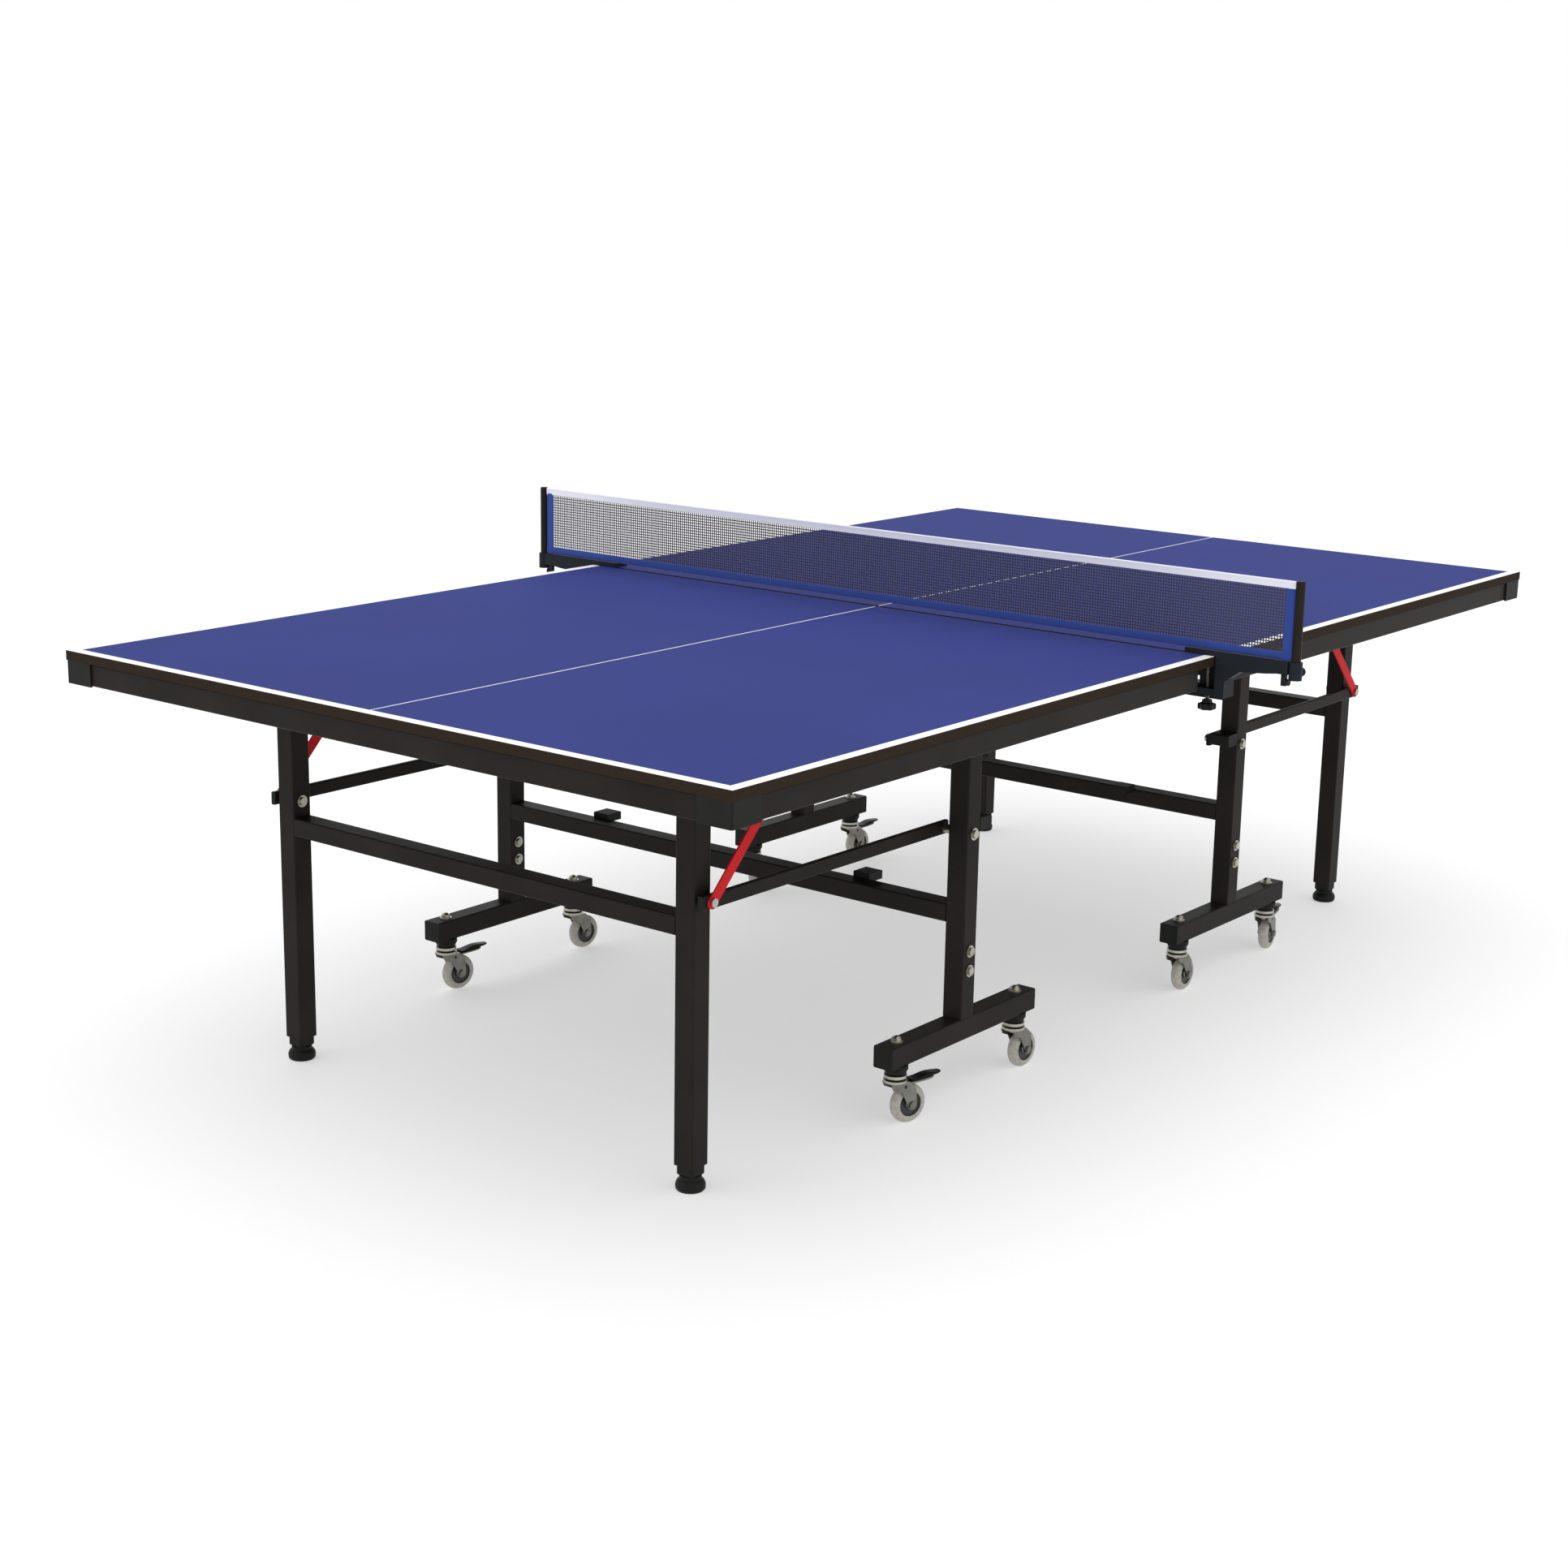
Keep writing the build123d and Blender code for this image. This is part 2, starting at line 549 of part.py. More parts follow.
def brace_shape():
    """Lean from upright, reach to the catch pin, and the angle at which the pin leaves the hook.

    While the half folds by one unit of angle, the brace falls by the ratio that brings it to
    hang straight down at the end. The slot points along the pin's path seen from the brace.
    """
    along = LEG_X - CATCH_PIN[0]
    up = CATCH_PIN[1] - LEG_STRUT_Z
    lean = math.atan2(along, up)
    reach = math.hypot(along, up)
    ratio = (math.pi - lean) / math.radians(FOLD)
    path_x = (CATCH_PIN[1] - LEG_HINGE_Z) - ratio * reach * math.cos(lean)
    path_z = -along + ratio * reach * math.sin(lean)
    along_brace = path_x * math.sin(lean) + path_z * math.cos(lean)
    beside_brace = -path_x * math.cos(lean) + path_z * math.sin(lean)
    return lean, reach, math.degrees(math.atan2(beside_brace, along_brace))


def brace(half, side, sx, sy):
    """Flat locking lever on the leg bolt, with a hook slot at its upper end."""
    lean, reach, slot_angle = brace_shape()
    middle = Plane((sx * LEG_X, sy * sum(BRACE_Y) / 2, LEG_STRUT_Z),
                   x_dir=(-sx * math.sin(lean), 0, math.cos(lean)), z_dir=(0, sx, 0))
    beyond = 11.0
    with BuildPart() as lever:
        with BuildSketch(middle):
            Circle(BRACE_WIDTH / 2 + 1)
            with Locations((reach / 2, 0)):
                Rectangle(reach, BRACE_WIDTH)
            with Locations((reach + beyond - BRACE_WIDTH / 2, 0)):
                Circle(BRACE_WIDTH / 2)
            Circle(BOLT_RADIUS + RUNNING, mode=Mode.SUBTRACT)
            with Locations((reach, 0)):
                Circle(CATCH_PIN_RADIUS + 0.4, mode=Mode.SUBTRACT)
                Rectangle(20, 2 * CATCH_PIN_RADIUS + 0.8, rotation=slot_angle,
                          align=(Align.MIN, Align.CENTER), mode=Mode.SUBTRACT)
        extrude(amount=(BRACE_Y[1] - BRACE_Y[0]) / 2, both=True)
    return save(f"{half}_brace_{side}", lever.part)


# ---------------------------------------------------------------- casters
def caster_plane(x, y, heading):
    """Frame of a caster: its origin on the floor under the stem, its X along the trail."""
    turn = math.radians(heading)
    return Plane((x, y, 0), x_dir=(math.cos(turn), math.sin(turn), 0), z_dir=(0, 0, 1))


def caster_fork(name, frame, braked):
    """Swivel crown, two cheeks and the axle between them; a braked one is drilled for its pedal."""
    cheek_inner = WHEEL_WIDTH / 2 + 2
    cheek = 2.5
    with BuildPart(frame) as crown:
        for low, high, radius in ((0, 5, 21), (5, 9, 18), (9, 14, 20)):
            with Locations((0, 0, CROWN_Z[0] + (low + high) / 2)):
                Cylinder(radius, high - low)
        with Locations((0, 0, CROWN_Z[0] + 7)):
            Cylinder(STEM_RADIUS + RUNNING, 16, mode=Mode.SUBTRACT)
        chamfer(crown.edges().filter_by(GeomType.CIRCLE).group_by(Axis.Z)[0].sort_by(SortBy.RADIUS)[-1], 0.8)
    solids = [crown.part]
    for side in (-1, 1):
        inside = side * cheek_inner if side < 0 else cheek_inner + cheek
        face = Plane(frame.from_local_coords((0, inside, 0)), x_dir=frame.x_dir, z_dir=-frame.y_dir)
        with BuildPart() as plate:
            with BuildSketch(face):
                with BuildLine():
                    Polyline((-17, CROWN_Z[0]), (20, CROWN_Z[0]), (TRAIL + 8, 64), (TRAIL + 9, WHEEL_RADIUS))
                    ThreePointArc((TRAIL + 9, WHEEL_RADIUS), (TRAIL, WHEEL_RADIUS - 9), (TRAIL - 9, WHEEL_RADIUS))
                    Polyline((TRAIL - 9, WHEEL_RADIUS), (4, 62), (-13, 69), (-17, CROWN_Z[0]))
                make_face()
                with Locations((TRAIL, WHEEL_RADIUS)):
                    Circle(AXLE_RADIUS + CLEAR, mode=Mode.SUBTRACT)
                if braked:
                    with Locations(PEDAL_PIN):
                        Circle(PEDAL_PIN_RADIUS + RUNNING, mode=Mode.SUBTRACT)
            extrude(amount=cheek)
        solids.append(plate.part)
    outer = cheek_inner + cheek
    axle_middle = Plane(frame.from_local_coords((TRAIL, 0, WHEEL_RADIUS)), x_dir=frame.x_dir, z_dir=frame.y_dir)
    with BuildPart(axle_middle) as axle:
        Cylinder(AXLE_RADIUS, 2 * outer)
        with Locations((0, 0, outer + 1.5), (0, 0, -outer - 1.5)):
            Cylinder(6.5, 3)
    solids.append(axle.part)
    return save(f"{name}_fork", *solids)


def caster_wheel(name, frame):
    """Wheel: a rounded tyre on a hub that turns on the axle."""
    axle = Plane(frame.from_local_coords((TRAIL, 0, WHEEL_RADIUS)), x_dir=frame.x_dir, z_dir=frame.y_dir)
    seat = 23.0
    half_width = WHEEL_WIDTH / 2
    with BuildPart(axle) as tyre:
        Cylinder(WHEEL_RADIUS, WHEEL_WIDTH)
        fillet(tyre.edges().filter_by(GeomType.CIRCLE), 9)
        Cylinder(seat + CLEAR, WHEEL_WIDTH, mode=Mode.SUBTRACT)
    with BuildPart(axle) as hub:
        Cylinder(seat, 2 * half_width - 3)
        Cylinder(8.5, 2 * half_width + 1)
        Cylinder(AXLE_RADIUS + RUNNING, WHEEL_WIDTH + 4, mode=Mode.SUBTRACT)
    return save(f"{name}_wheel", tyre.part, hub.part)


def brake_pedal(name, frame):
    """Pedal over the wheel: a tongue on a pin between the cheeks, with a raised tread at its tip."""
    half_width = 12.0
    pin_half_length = WHEEL_WIDTH / 2 + 4.5
    side = Plane(frame.origin, x_dir=frame.x_dir, z_dir=-frame.y_dir)
    with BuildPart() as pedal:
        with BuildSketch(side):
            with BuildLine():
                Polyline((9.5, 72), (60, 72), (88, 77), (95, 82), (90, 87), (74, 84), (58, 75.5), (9.5, 75.5),
                         (9.5, 72))
            make_face()
        extrude(amount=half_width, both=True)
        with BuildSketch(side):
            with Locations(PEDAL_PIN):
                Circle(PEDAL_PIN_RADIUS)
        extrude(amount=pin_half_length, both=True)
    return save(f"{name}_brake_pedal", pedal.part)


def caster(half, side, place, sx, sy):
    """One swivelling caster; the outer ones have a brake."""
    name = f"{half}_{side}_{place}"
    stem = sx * STEM_X[1 if place == "outer" else 0]
    frame = caster_plane(stem, sy * STEM_Y, CASTER_HEADINGS[(half, side, place)])
    braked = place == "outer"
    caster_fork(name, frame, braked)
    caster_wheel(name, frame)
    if braked:
        brake_pedal(name, frame)


# ---------------------------------------------------------------- net set
def net_clamp(side, sy):
    """Bracket that grips the far half's edge and holds a net post beside the table.

    It stays clear of the near half, so that either half folds by itself.
    """
    wide = (NET_X - 11, 33)
    narrow = (NET_X - 11, NET_X + 11)
    web = (764.5, 784)
    jaw_z = (684, 697)
    with BuildPart() as arm:
        block(wide, span(sy, (700, web[1])), (TABLE_HEIGHT, CLAMP_TOP))
    with BuildPart() as plate:
        block(wide, span(sy, web), (jaw_z[0], TABLE_HEIGHT))
    with BuildPart() as jaw:
        block((3, wide[1]), span(sy, (715, web[0])), jaw_z)
        upright_bar(SCREW_X, sy * SCREW_Y, jaw_z, BOLT_RADIUS + RUNNING, Mode.SUBTRACT)
        block((wide[1] - 3, wide[1]), span(sy, (715, web[0])), (jaw_z[1], BOARD_BOTTOM - 0.5))
    with BuildPart() as bracket:
        with BuildSketch(Plane((narrow[0], 0, 0), x_dir=(0, 1, 0), z_dir=(1, 0, 0))):
            with BuildLine():
                corners = ((web[1], CLAMP_TOP), (POST_Y - 11, CLAMP_TOP), (POST_Y - 11, 745), (889, 745), (865, 742),
                           (815, 738), (web[1], 716), (web[1], CLAMP_TOP))
                Polyline(*[(sy * y, z) for y, z in corners])
            make_face()
        extrude(amount=narrow[1] - narrow[0])
        upright_bar(NET_X, sy * POST_Y, (736, CLAMP_TOP), SOCKET_RADIUS + CLEAR, Mode.SUBTRACT)
    with BuildPart() as socket:
        upright_bar(NET_X, sy * POST_Y, (736, CLAMP_TOP), SOCKET_RADIUS)
        upright_bar(NET_X, sy * POST_Y, (741, CLAMP_TOP), POST_RADIUS + RUNNING, Mode.SUBTRACT)
        bar_along((NET_X + 3, NET_X + 20), sy * POST_Y, KNOB_Z, 3 + RUNNING, Mode.SUBTRACT)
    with BuildPart() as lug:
        block((NET_X - 4, NET_X + 4), span(sy, (893, 902)), (723, 745))
    with BuildPart() as nut:
        round_bar(NET_X, 730, span(sy, (902, 908)), 6)
    return save(f"net_clamp_{side}", arm.part, plate.part, jaw.part, bracket.part, socket.part, lug.part, nut.part)


def net_posts():
    """The two posts that stand in the clamps' sockets."""
    posts = []
    for _, sy in SIDES:
        with BuildPart() as post:
            upright_bar(NET_X, sy * POST_Y, (741.3, POST_TOP), POST_RADIUS)
            fillet(post.edges().group_by(Axis.Z)[-1], 3)
        posts.append(post.part)
    return save("net_posts", *posts)


def net():
    """Net between the posts: its outline as one thin slab."""
    with BuildPart() as sheet:
        block((NET_X - 1.5, NET_X + 1.5), (-NET_HALF_WIDTH, NET_HALF_WIDTH), NET_Z)
    return save("net", sheet.part)


def clamp_screw(side, sy):
    """Clamp screw with its pressure pad and star knob."""
    y = sy * SCREW_Y
    with BuildPart() as screw:
        upright_bar(SCREW_X, y, (668, 739), BOLT_RADIUS)
        upright_bar(SCREW_X, y, (738, BOARD_BOTTOM - 0.3), 8)
        upright_bar(SCREW_X, y, (667, 674), 8.5)
        with BuildSketch(Plane((SCREW_X, y, 655))):
            Circle(13)
            with PolarLocations(12.5, 6):
                Circle(4.5)
        extrude(amount=12.5)
    return save(f"clamp_screw_{side}", screw.part)


def post_knob(side, sy):
    """Ball-ended screw that locks a post in its socket."""
    with BuildPart() as knob:
        bar_along((NET_X + POST_RADIUS + 0.4, KNOB_X), sy * POST_Y, KNOB_Z, 3)
        with Locations((KNOB_X, sy * POST_Y, KNOB_Z)):
            Sphere(8.5)
    return save(f"post_knob_{side}", knob.part)


# ---------------------------------------------------------------- the table
for half_name, half_sign in HALVES:
    wheel_frame(half_name, half_sign)
    wheel_frame_bolts(half_name, half_sign)
    wheel_frame_mouldings(half_name, half_sign)
    board(half_name, half_sign)
    top_frame(half_name, half_sign)
    corner_guards(half_name, half_sign)
    top_brackets(half_name, half_sign)
    leg_frame(half_name, half_sign)
    leg_inserts(half_name, half_sign)
    leg_bolts(half_name, half_sign)
    struts(half_name, half_sign)
    strut_caps(half_name, half_sign)
    for side_name, side_sign in SIDES:
        foot(half_name, side_name, half_sign * LEG_X, side_sign * LEG_CENTRE_Y)
        brace(half_name, side_name, half_sign, side_sign)
        for place_name in ("inner", "outer"):
            caster(half_name, side_name, place_name, half_sign, side_sign)

for side_name, side_sign in SIDES:
    net_clamp(side_name, side_sign)
    clamp_screw(side_name, side_sign)
    post_knob(side_name, side_sign)
net_posts()
net()
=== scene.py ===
"""Looks of the roll-away table-tennis table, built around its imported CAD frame.

Everything is in metres: X runs along the table, Y across it, Z up, with the floor at Z = 0.
"""
import json
import math

import bmesh
import bpy
import numpy as np
from bpy.props import FloatProperty, FloatVectorProperty, IntProperty, PointerProperty
from mathutils import Matrix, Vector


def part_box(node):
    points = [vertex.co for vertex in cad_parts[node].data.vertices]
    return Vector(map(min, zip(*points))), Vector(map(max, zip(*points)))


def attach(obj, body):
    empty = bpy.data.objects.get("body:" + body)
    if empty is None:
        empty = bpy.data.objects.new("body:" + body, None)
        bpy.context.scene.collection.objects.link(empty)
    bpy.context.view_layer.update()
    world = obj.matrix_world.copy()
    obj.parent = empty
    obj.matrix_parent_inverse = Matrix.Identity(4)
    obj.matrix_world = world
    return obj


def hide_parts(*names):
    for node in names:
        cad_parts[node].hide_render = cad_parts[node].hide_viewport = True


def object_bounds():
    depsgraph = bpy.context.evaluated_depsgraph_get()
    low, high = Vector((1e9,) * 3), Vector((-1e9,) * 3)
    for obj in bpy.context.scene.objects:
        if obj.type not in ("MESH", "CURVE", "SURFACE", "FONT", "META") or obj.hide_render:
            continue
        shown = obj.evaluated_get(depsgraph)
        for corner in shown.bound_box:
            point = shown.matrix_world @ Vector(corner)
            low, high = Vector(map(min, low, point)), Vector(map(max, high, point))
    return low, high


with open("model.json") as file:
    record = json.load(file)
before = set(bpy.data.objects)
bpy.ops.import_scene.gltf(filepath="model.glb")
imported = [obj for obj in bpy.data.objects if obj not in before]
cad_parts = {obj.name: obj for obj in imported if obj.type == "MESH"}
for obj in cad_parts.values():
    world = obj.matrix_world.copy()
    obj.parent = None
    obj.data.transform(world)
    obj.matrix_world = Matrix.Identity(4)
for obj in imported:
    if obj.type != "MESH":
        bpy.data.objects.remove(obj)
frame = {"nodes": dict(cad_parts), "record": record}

bl_info = {
    "name": "Table-tennis table",
    "version": (1, 0, 0),
    "blender": (4, 5, 0),
    "location": "3D View > Sidebar > Table tennis",
    "description": "Finishes, net, casters and stage of a folding table-tennis table",
    "category": "Add Mesh",
}

NODES = frame["nodes"]
RECORD = frame["record"]
JOINTS = {joint["name"]: joint for joint in RECORD["behaviour"]["joints"]}
BODIES = RECORD["behaviour"]["bodies"]
CAD_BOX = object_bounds()
MM = 0.001
CROWN_BOTTOM = 78.5 * MM          # underside of a caster's crown, where the painted highlight on the crown begins
CROWN_RACE_SHADOW = (84 * MM, 88 * MM)   # painted shadow in the race between the crown's two lips
HUB_RADIUS = 10.2 * MM            # bright middle of a wheel
SEAT_RADIUS = 21.9 * MM           # where the dark ring ends and the tyre begins
TREAD_RADIUS = 31.5 * MM          # where the tyre's rolling face begins
CLAMP_SCREW_FOOT = 668 * MM       # foot of a clamp screw's shaft
HALVES = ("near", "far")
SIDES = ("right", "left")


# ---------------------------------------------------------------- sizes and colours
def linear(red, green, blue):
    """The linear colour of three display values from 0 to 255."""
    return tuple(round((value / 255) ** 2.2, 5) for value in (red, green, blue))


def colour(name, description, default):
    """A colour property of a settings group."""
    return FloatVectorProperty(name=name, description=description, subtype="COLOR", size=3, min=0, max=1,
                               default=default)


def length(name, description, default):
    """A length property of a settings group, in metres."""
    return FloatProperty(name=name, description=description, subtype="DISTANCE", unit="LENGTH",
                         default=default, min=0)


class TableColours(bpy.types.PropertyGroup):
    """Colours of the table's finishes."""
    board: colour("Board", "Playing coat", linear(56, 64, 125))
    lines: colour("Lines", "Painted lines", linear(238, 239, 240))
    edge: colour("Board edge", "Banding on the board's edges", linear(50, 43, 36))
    frame: colour("Frame", "Powder coat of the frame", linear(40, 37, 35))
    clamp: colour("Clamps", "Powder coat of the net clamps", linear(38, 41, 46))
    lever: colour("Braces", "Paint of the locking braces", linear(198, 36, 42))
    plastic: colour("Mouldings", "Black plastic", linear(30, 30, 29))
    zinc: colour("Zinc", "Plated fasteners", linear(176, 173, 163))
    steel: colour("Steel", "Pressed caster steel", linear(122, 121, 115))
    tyre: colour("Tyre", "Tread of the wheels", linear(166, 162, 154))
    ring: colour("Wheel ring", "Dark ring between tyre and hub", linear(40, 40, 40))
    net: colour("Net", "Thread of the net", linear(52, 49, 66))
    band: colour("Net bands", "Binding at the net's sides and foot", linear(40, 66, 146))
    tape: colour("Net tape", "White tape along the net's top", linear(236, 236, 246))


class TableSizes(bpy.types.PropertyGroup):
    """Sizes of the painted lines and of the net's cloth."""
    edge_line: length("Edge line", "Width of the white line along each edge", 20 * MM)
    centre_line: length("Centre line", "Width of the line along the middle", 3 * MM)
    tape: length("Tape height", "Height of the white tape", 14 * MM)
    side_band: length("Side band", "Width of the band beside each post", 19 * MM)
    foot_band: length("Foot band", "Height of the band along the net's foot", 15 * MM)
    cell: length("Net cell", "Spacing of the net's threads", 5.5 * MM)
    thread: length("Thread", "Thickness of one thread", 1.85 * MM)
    turns: IntProperty(name="Turns", description="Faces round a wheel", default=96, min=24, max=256)


class StageSettings(bpy.types.PropertyGroup):
    """Camera and studio light."""
    lens: FloatProperty(name="Lens", description="Focal length", unit="CAMERA", default=58.16, min=10)
    azimuth: FloatProperty(name="Azimuth", description="Turn round the table", subtype="ANGLE",
                           default=math.radians(-51.68))
    elevation: FloatProperty(name="Elevation", description="Height angle", subtype="ANGLE",
                             default=math.radians(13.74))
    roll: FloatProperty(name="Roll", description="Tilt of the picture", subtype="ANGLE",
                        default=math.radians(0.987))
    place: FloatVectorProperty(name="Place", description="Where the camera stands", subtype="TRANSLATION",
                               size=3, default=(-4.0211, -2.9491, 1.6105))
    sky: FloatProperty(name="Sky", description="Strength of the light from all round", default=1.0, min=0)
    key: FloatProperty(name="Key", description="Power of the overhead light", unit="POWER", default=45, min=0)


# ---------------------------------------------------------------- shader expressions
class Value:
    """One number in a material, whose arithmetic adds Math nodes."""

    def __init__(self, finish, socket):
        self.finish = finish
        self.socket = socket

    def _math(self, operation, *values):
        return self.finish.node("Math", {"operation": operation}, dict(enumerate(values)))

    def __add__(self, other):
        return self._math("ADD", self, other)

    def __sub__(self, other):
        return self._math("SUBTRACT", self, other)

    def __mul__(self, other):
        return self._math("MULTIPLY", self, other)

    def __gt__(self, other):
        return self._math("GREATER_THAN", self, other)

    def __lt__(self, other):
        return self._math("LESS_THAN", self, other)

    def __abs__(self):
        return self._math("ABSOLUTE", self)

    def either(self, other):
        """The larger of two masks."""
        return self._math("MAXIMUM", self, other)

    def sine(self):
        """The sine of the value."""
        return self._math("SINE", self)

    def ramp(self, low, high):
        """0 at low and 1 at high, in a straight line between."""
        return self.finish.node("MapRange", {}, {"Value": self, "From Min": low, "From Max": high})

    __radd__ = __add__
    __rmul__ = __mul__


class Finish:
    """A material, and the one method that makes its nodes."""

    def __init__(self, name):
        self.material = bpy.data.materials.new(name)
        self.material.use_nodes = True
        self.tree = self.material.node_tree
        self.shader = self.tree.nodes["Principled BSDF"]

    def node(self, kind, settings, sockets, output=0):
        """Adds a shader node, sets its settings, then the values or links of its sockets."""
        node = self.tree.nodes.new("ShaderNode" + kind)
        for name, setting in settings.items():
            setattr(node, name, setting)
        for name, value in sockets.items():
            self.feed(node.inputs[name], value)
        return Value(self, node.outputs[output])

    def feed(self, socket, value):
        """Links a value from another node, or sets a plain one."""
        if isinstance(value, Value):
            self.tree.links.new(value.socket, socket)
        elif isinstance(value, tuple) and socket.type == "RGBA":
            socket.default_value = (*value[:3], 1)
        else:
            socket.default_value = value

    def set(self, **sockets):
        """Sets the shader's own sockets, named with underscores for spaces."""
        for name, value in sockets.items():
            self.feed(self.shader.inputs[name.replace("_", " ")], value)
        return self.material

    def place(self, scale=(1, 1, 1), turn=(0, 0, 0)):
        """Object coordinates, stretched and turned."""
        where = self.node("TexCoord", {}, {}, "Object")
        return self.node("Mapping", {}, {"Vector": where, "Scale": scale, "Rotation": turn})

    def axes(self):
        """The three object coordinates as values."""
        where = self.node("TexCoord", {}, {}, "Object")
        split = self.node("SeparateXYZ", {}, {"Vector": where})
        return [Value(self, output) for output in split.socket.node.outputs]

    def cloth_axes(self):
        """The piece's own UV as two values."""
        where = self.node("UVMap", {"uv_map": "cloth"}, {})
        split = self.node("SeparateXYZ", {}, {"Vector": where})
        return [Value(self, output) for output in split.socket.node.outputs[:2]]

    def noise(self, scale, detail=3.0, where=None):
        """Fractal noise, from 0 to 1, with scale cells to the metre."""
        sockets = {"Scale": scale, "Detail": detail}
        sockets["Vector"] = where if where else self.place()
        return self.node("TexNoise", {}, sockets, "Fac")

    def mix(self, mask, low, high):
        """A colour between low and high."""
        return self.node("Mix", {"data_type": "RGBA"}, {0: mask, 6: low, 7: high}, 2)

    def tone(self, base, factor):
        """A colour lightened or darkened by a plain factor."""
        return tuple(min(1.0, part * factor) for part in base)

    def bump(self, height, strength, depth):
        """A normal from a height, where depth is the height's size in metres."""
        return self.node("Bump", {}, {"Height": height, "Strength": strength, "Distance": depth})


# ---------------------------------------------------------------- materials
def powder_coat(name, base, rough=0.42):
    """Powder coat: fine orange peel, with slow random patches of lighter and darker tone."""
    coat = Finish(name)
    peel = coat.noise(1100, 2.0)
    drift = coat.noise(7, 4.0)
    tint = coat.mix(drift.ramp(0.35, 0.65), coat.tone(base, 0.86), coat.tone(base, 1.16))
    return coat.set(Base_Color=tint, Roughness=rough + 0.12 * (drift - 0.5) + 0.06 * (peel - 0.5),
                    Specular_IOR_Level=0.06, Normal=coat.bump(peel, 0.16, 0.0004))


def gloss_paint(name, base):
    """Sprayed enamel with faint handling marks."""
    coat = Finish(name)
    marks = coat.noise(60, 5.0, coat.place(scale=(1, 1, 6)))
    peel = coat.noise(700, 2.0)
    tint = coat.mix(marks.ramp(0.3, 0.7), coat.tone(base, 0.93), coat.tone(base, 1.05))
    return coat.set(Base_Color=tint, Roughness=0.4 + 0.14 * marks, Specular_IOR_Level=0.08,
                    Normal=coat.bump(peel, 0.08, 0.0003))


def moulded_plastic(name, base, rough=0.5):
    """Black moulding with a spark-eroded texture."""
    resin = Finish(name)
    grain = resin.noise(1900, 1.0)
    drift = resin.noise(14, 3.0)
    tint = resin.mix(drift.ramp(0.35, 0.65), resin.tone(base, 0.88), resin.tone(base, 1.2))
    return resin.set(Base_Color=tint, Roughness=rough + 0.16 * (grain - 0.5), Specular_IOR_Level=0.12,
                     Normal=resin.bump(grain, 0.3, 0.0003))


def plated_metal(name, base, rough):
    """Bright plating with a fine drawn grain and cloudy patches."""
    plate = Finish(name)
    grain = plate.noise(420, 3.0, plate.place(scale=(1, 1, 9)))
    cloud = plate.noise(55, 4.0)
    tint = plate.mix(cloud.ramp(0.3, 0.7), plate.tone(base, 0.8), plate.tone(base, 1.05))
    return plate.set(Base_Color=tint, Metallic=1.0,
                     Roughness=rough + 0.18 * (cloud - 0.5) + 0.1 * (grain - 0.5),
                     Normal=plate.bump(grain, 0.12, 0.0003))


def caster_steel(name, colours):
    """Pressed steel of a fork, with a painted highlight on the crown and a painted shadow in the race between
    the crown's two lips.
    """
    steel = Finish(name)
    height = steel.axes()[2]
    # painted highlight: everything above the crown's underside takes the brighter zinc colour, standing in
    # for the light on its lips
    crown_highlight = height > CROWN_BOTTOM
    # painted shadow: the band between the crown's two lips, where the ball race lies in shade
    race_shadow = (height > CROWN_RACE_SHADOW[0]) * (height < CROWN_RACE_SHADOW[1])
    cloud = steel.noise(60, 4.0)
    grain = steel.noise(420, 3.0, steel.place(scale=(1, 1, 9)))
    plate = steel.mix(cloud.ramp(0.3, 0.7), steel.tone(colours.steel, 0.85), steel.tone(colours.steel, 1.25))
    highlight_tint = steel.mix(cloud.ramp(0.3, 0.7), steel.tone(colours.zinc, 0.85), steel.tone(colours.zinc, 1.2))
    # the race's painted shadow takes the wheel ring's dark colour, over the crown's painted highlight and the
    # plain steel
    tint = steel.mix(race_shadow, steel.mix(crown_highlight, plate, highlight_tint), tuple(colours.ring))
    return steel.set(Base_Color=tint, Metallic=1.0,
                     Roughness=0.34 + 0.18 * (cloud - 0.5) + 0.1 * (grain - 0.5),
                     Normal=steel.bump(grain, 0.12, 0.0003))


def playing_coat(name, colours, sizes):
    """The board: matt coat and painted lines on top, dark banding round the edge, bare board below.

    A point is on a line where it lies within the line's width of an outer edge, or within half the
    centre line's width of the middle. The net end has no line.
    """
    coat = Finish(name)
    x, y, z = coat.axes()
    outer_x = CAD_BOX[1][0]
    outer_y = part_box("near_board")[1][1]
    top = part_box("near_board")[1][2]
    wave = 0.0003 * (coat.noise(90, 2.0) - 0.5)
    on_end = abs(x) + wave > outer_x - sizes.edge_line
    on_side = abs(y) + wave > outer_y - sizes.edge_line
    on_middle = abs(y) + wave < sizes.centre_line / 2
    line = on_end.either(on_side).either(on_middle)
    grain = coat.noise(2600, 2.0)
    cloud = coat.noise(2.3, 5.0)
    blue = coat.mix(cloud.ramp(0.35, 0.65), coat.tone(colours.board, 0.95), coat.tone(colours.board, 1.05))
    painted = coat.mix(line, blue, tuple(colours.lines))
    below = coat.mix(coat.noise(160, 6.0), coat.tone(colours.edge, 0.8), coat.tone(colours.edge, 1.25))
    is_top = z > top - 0.0004
    return coat.set(Base_Color=coat.mix(is_top, below, painted),
                    Roughness=0.62 + 0.1 * (cloud - 0.5) + 0.1 * (grain - 0.5),
                    Specular_IOR_Level=0.02, Normal=coat.bump(grain, 0.1, 0.0002))


def thread_finish(name, base):
    """Twisted thread of the net."""
    thread = Finish(name)
    twist = thread.noise(1500, 2.0)
    tint = thread.mix(twist, thread.tone(base, 0.7), thread.tone(base, 1.35))
    return thread.set(Base_Color=tint, Roughness=0.78, Sheen_Weight=0.15, Sheen_Roughness=0.5,
                      Normal=thread.bump(twist, 0.3, 0.0004))


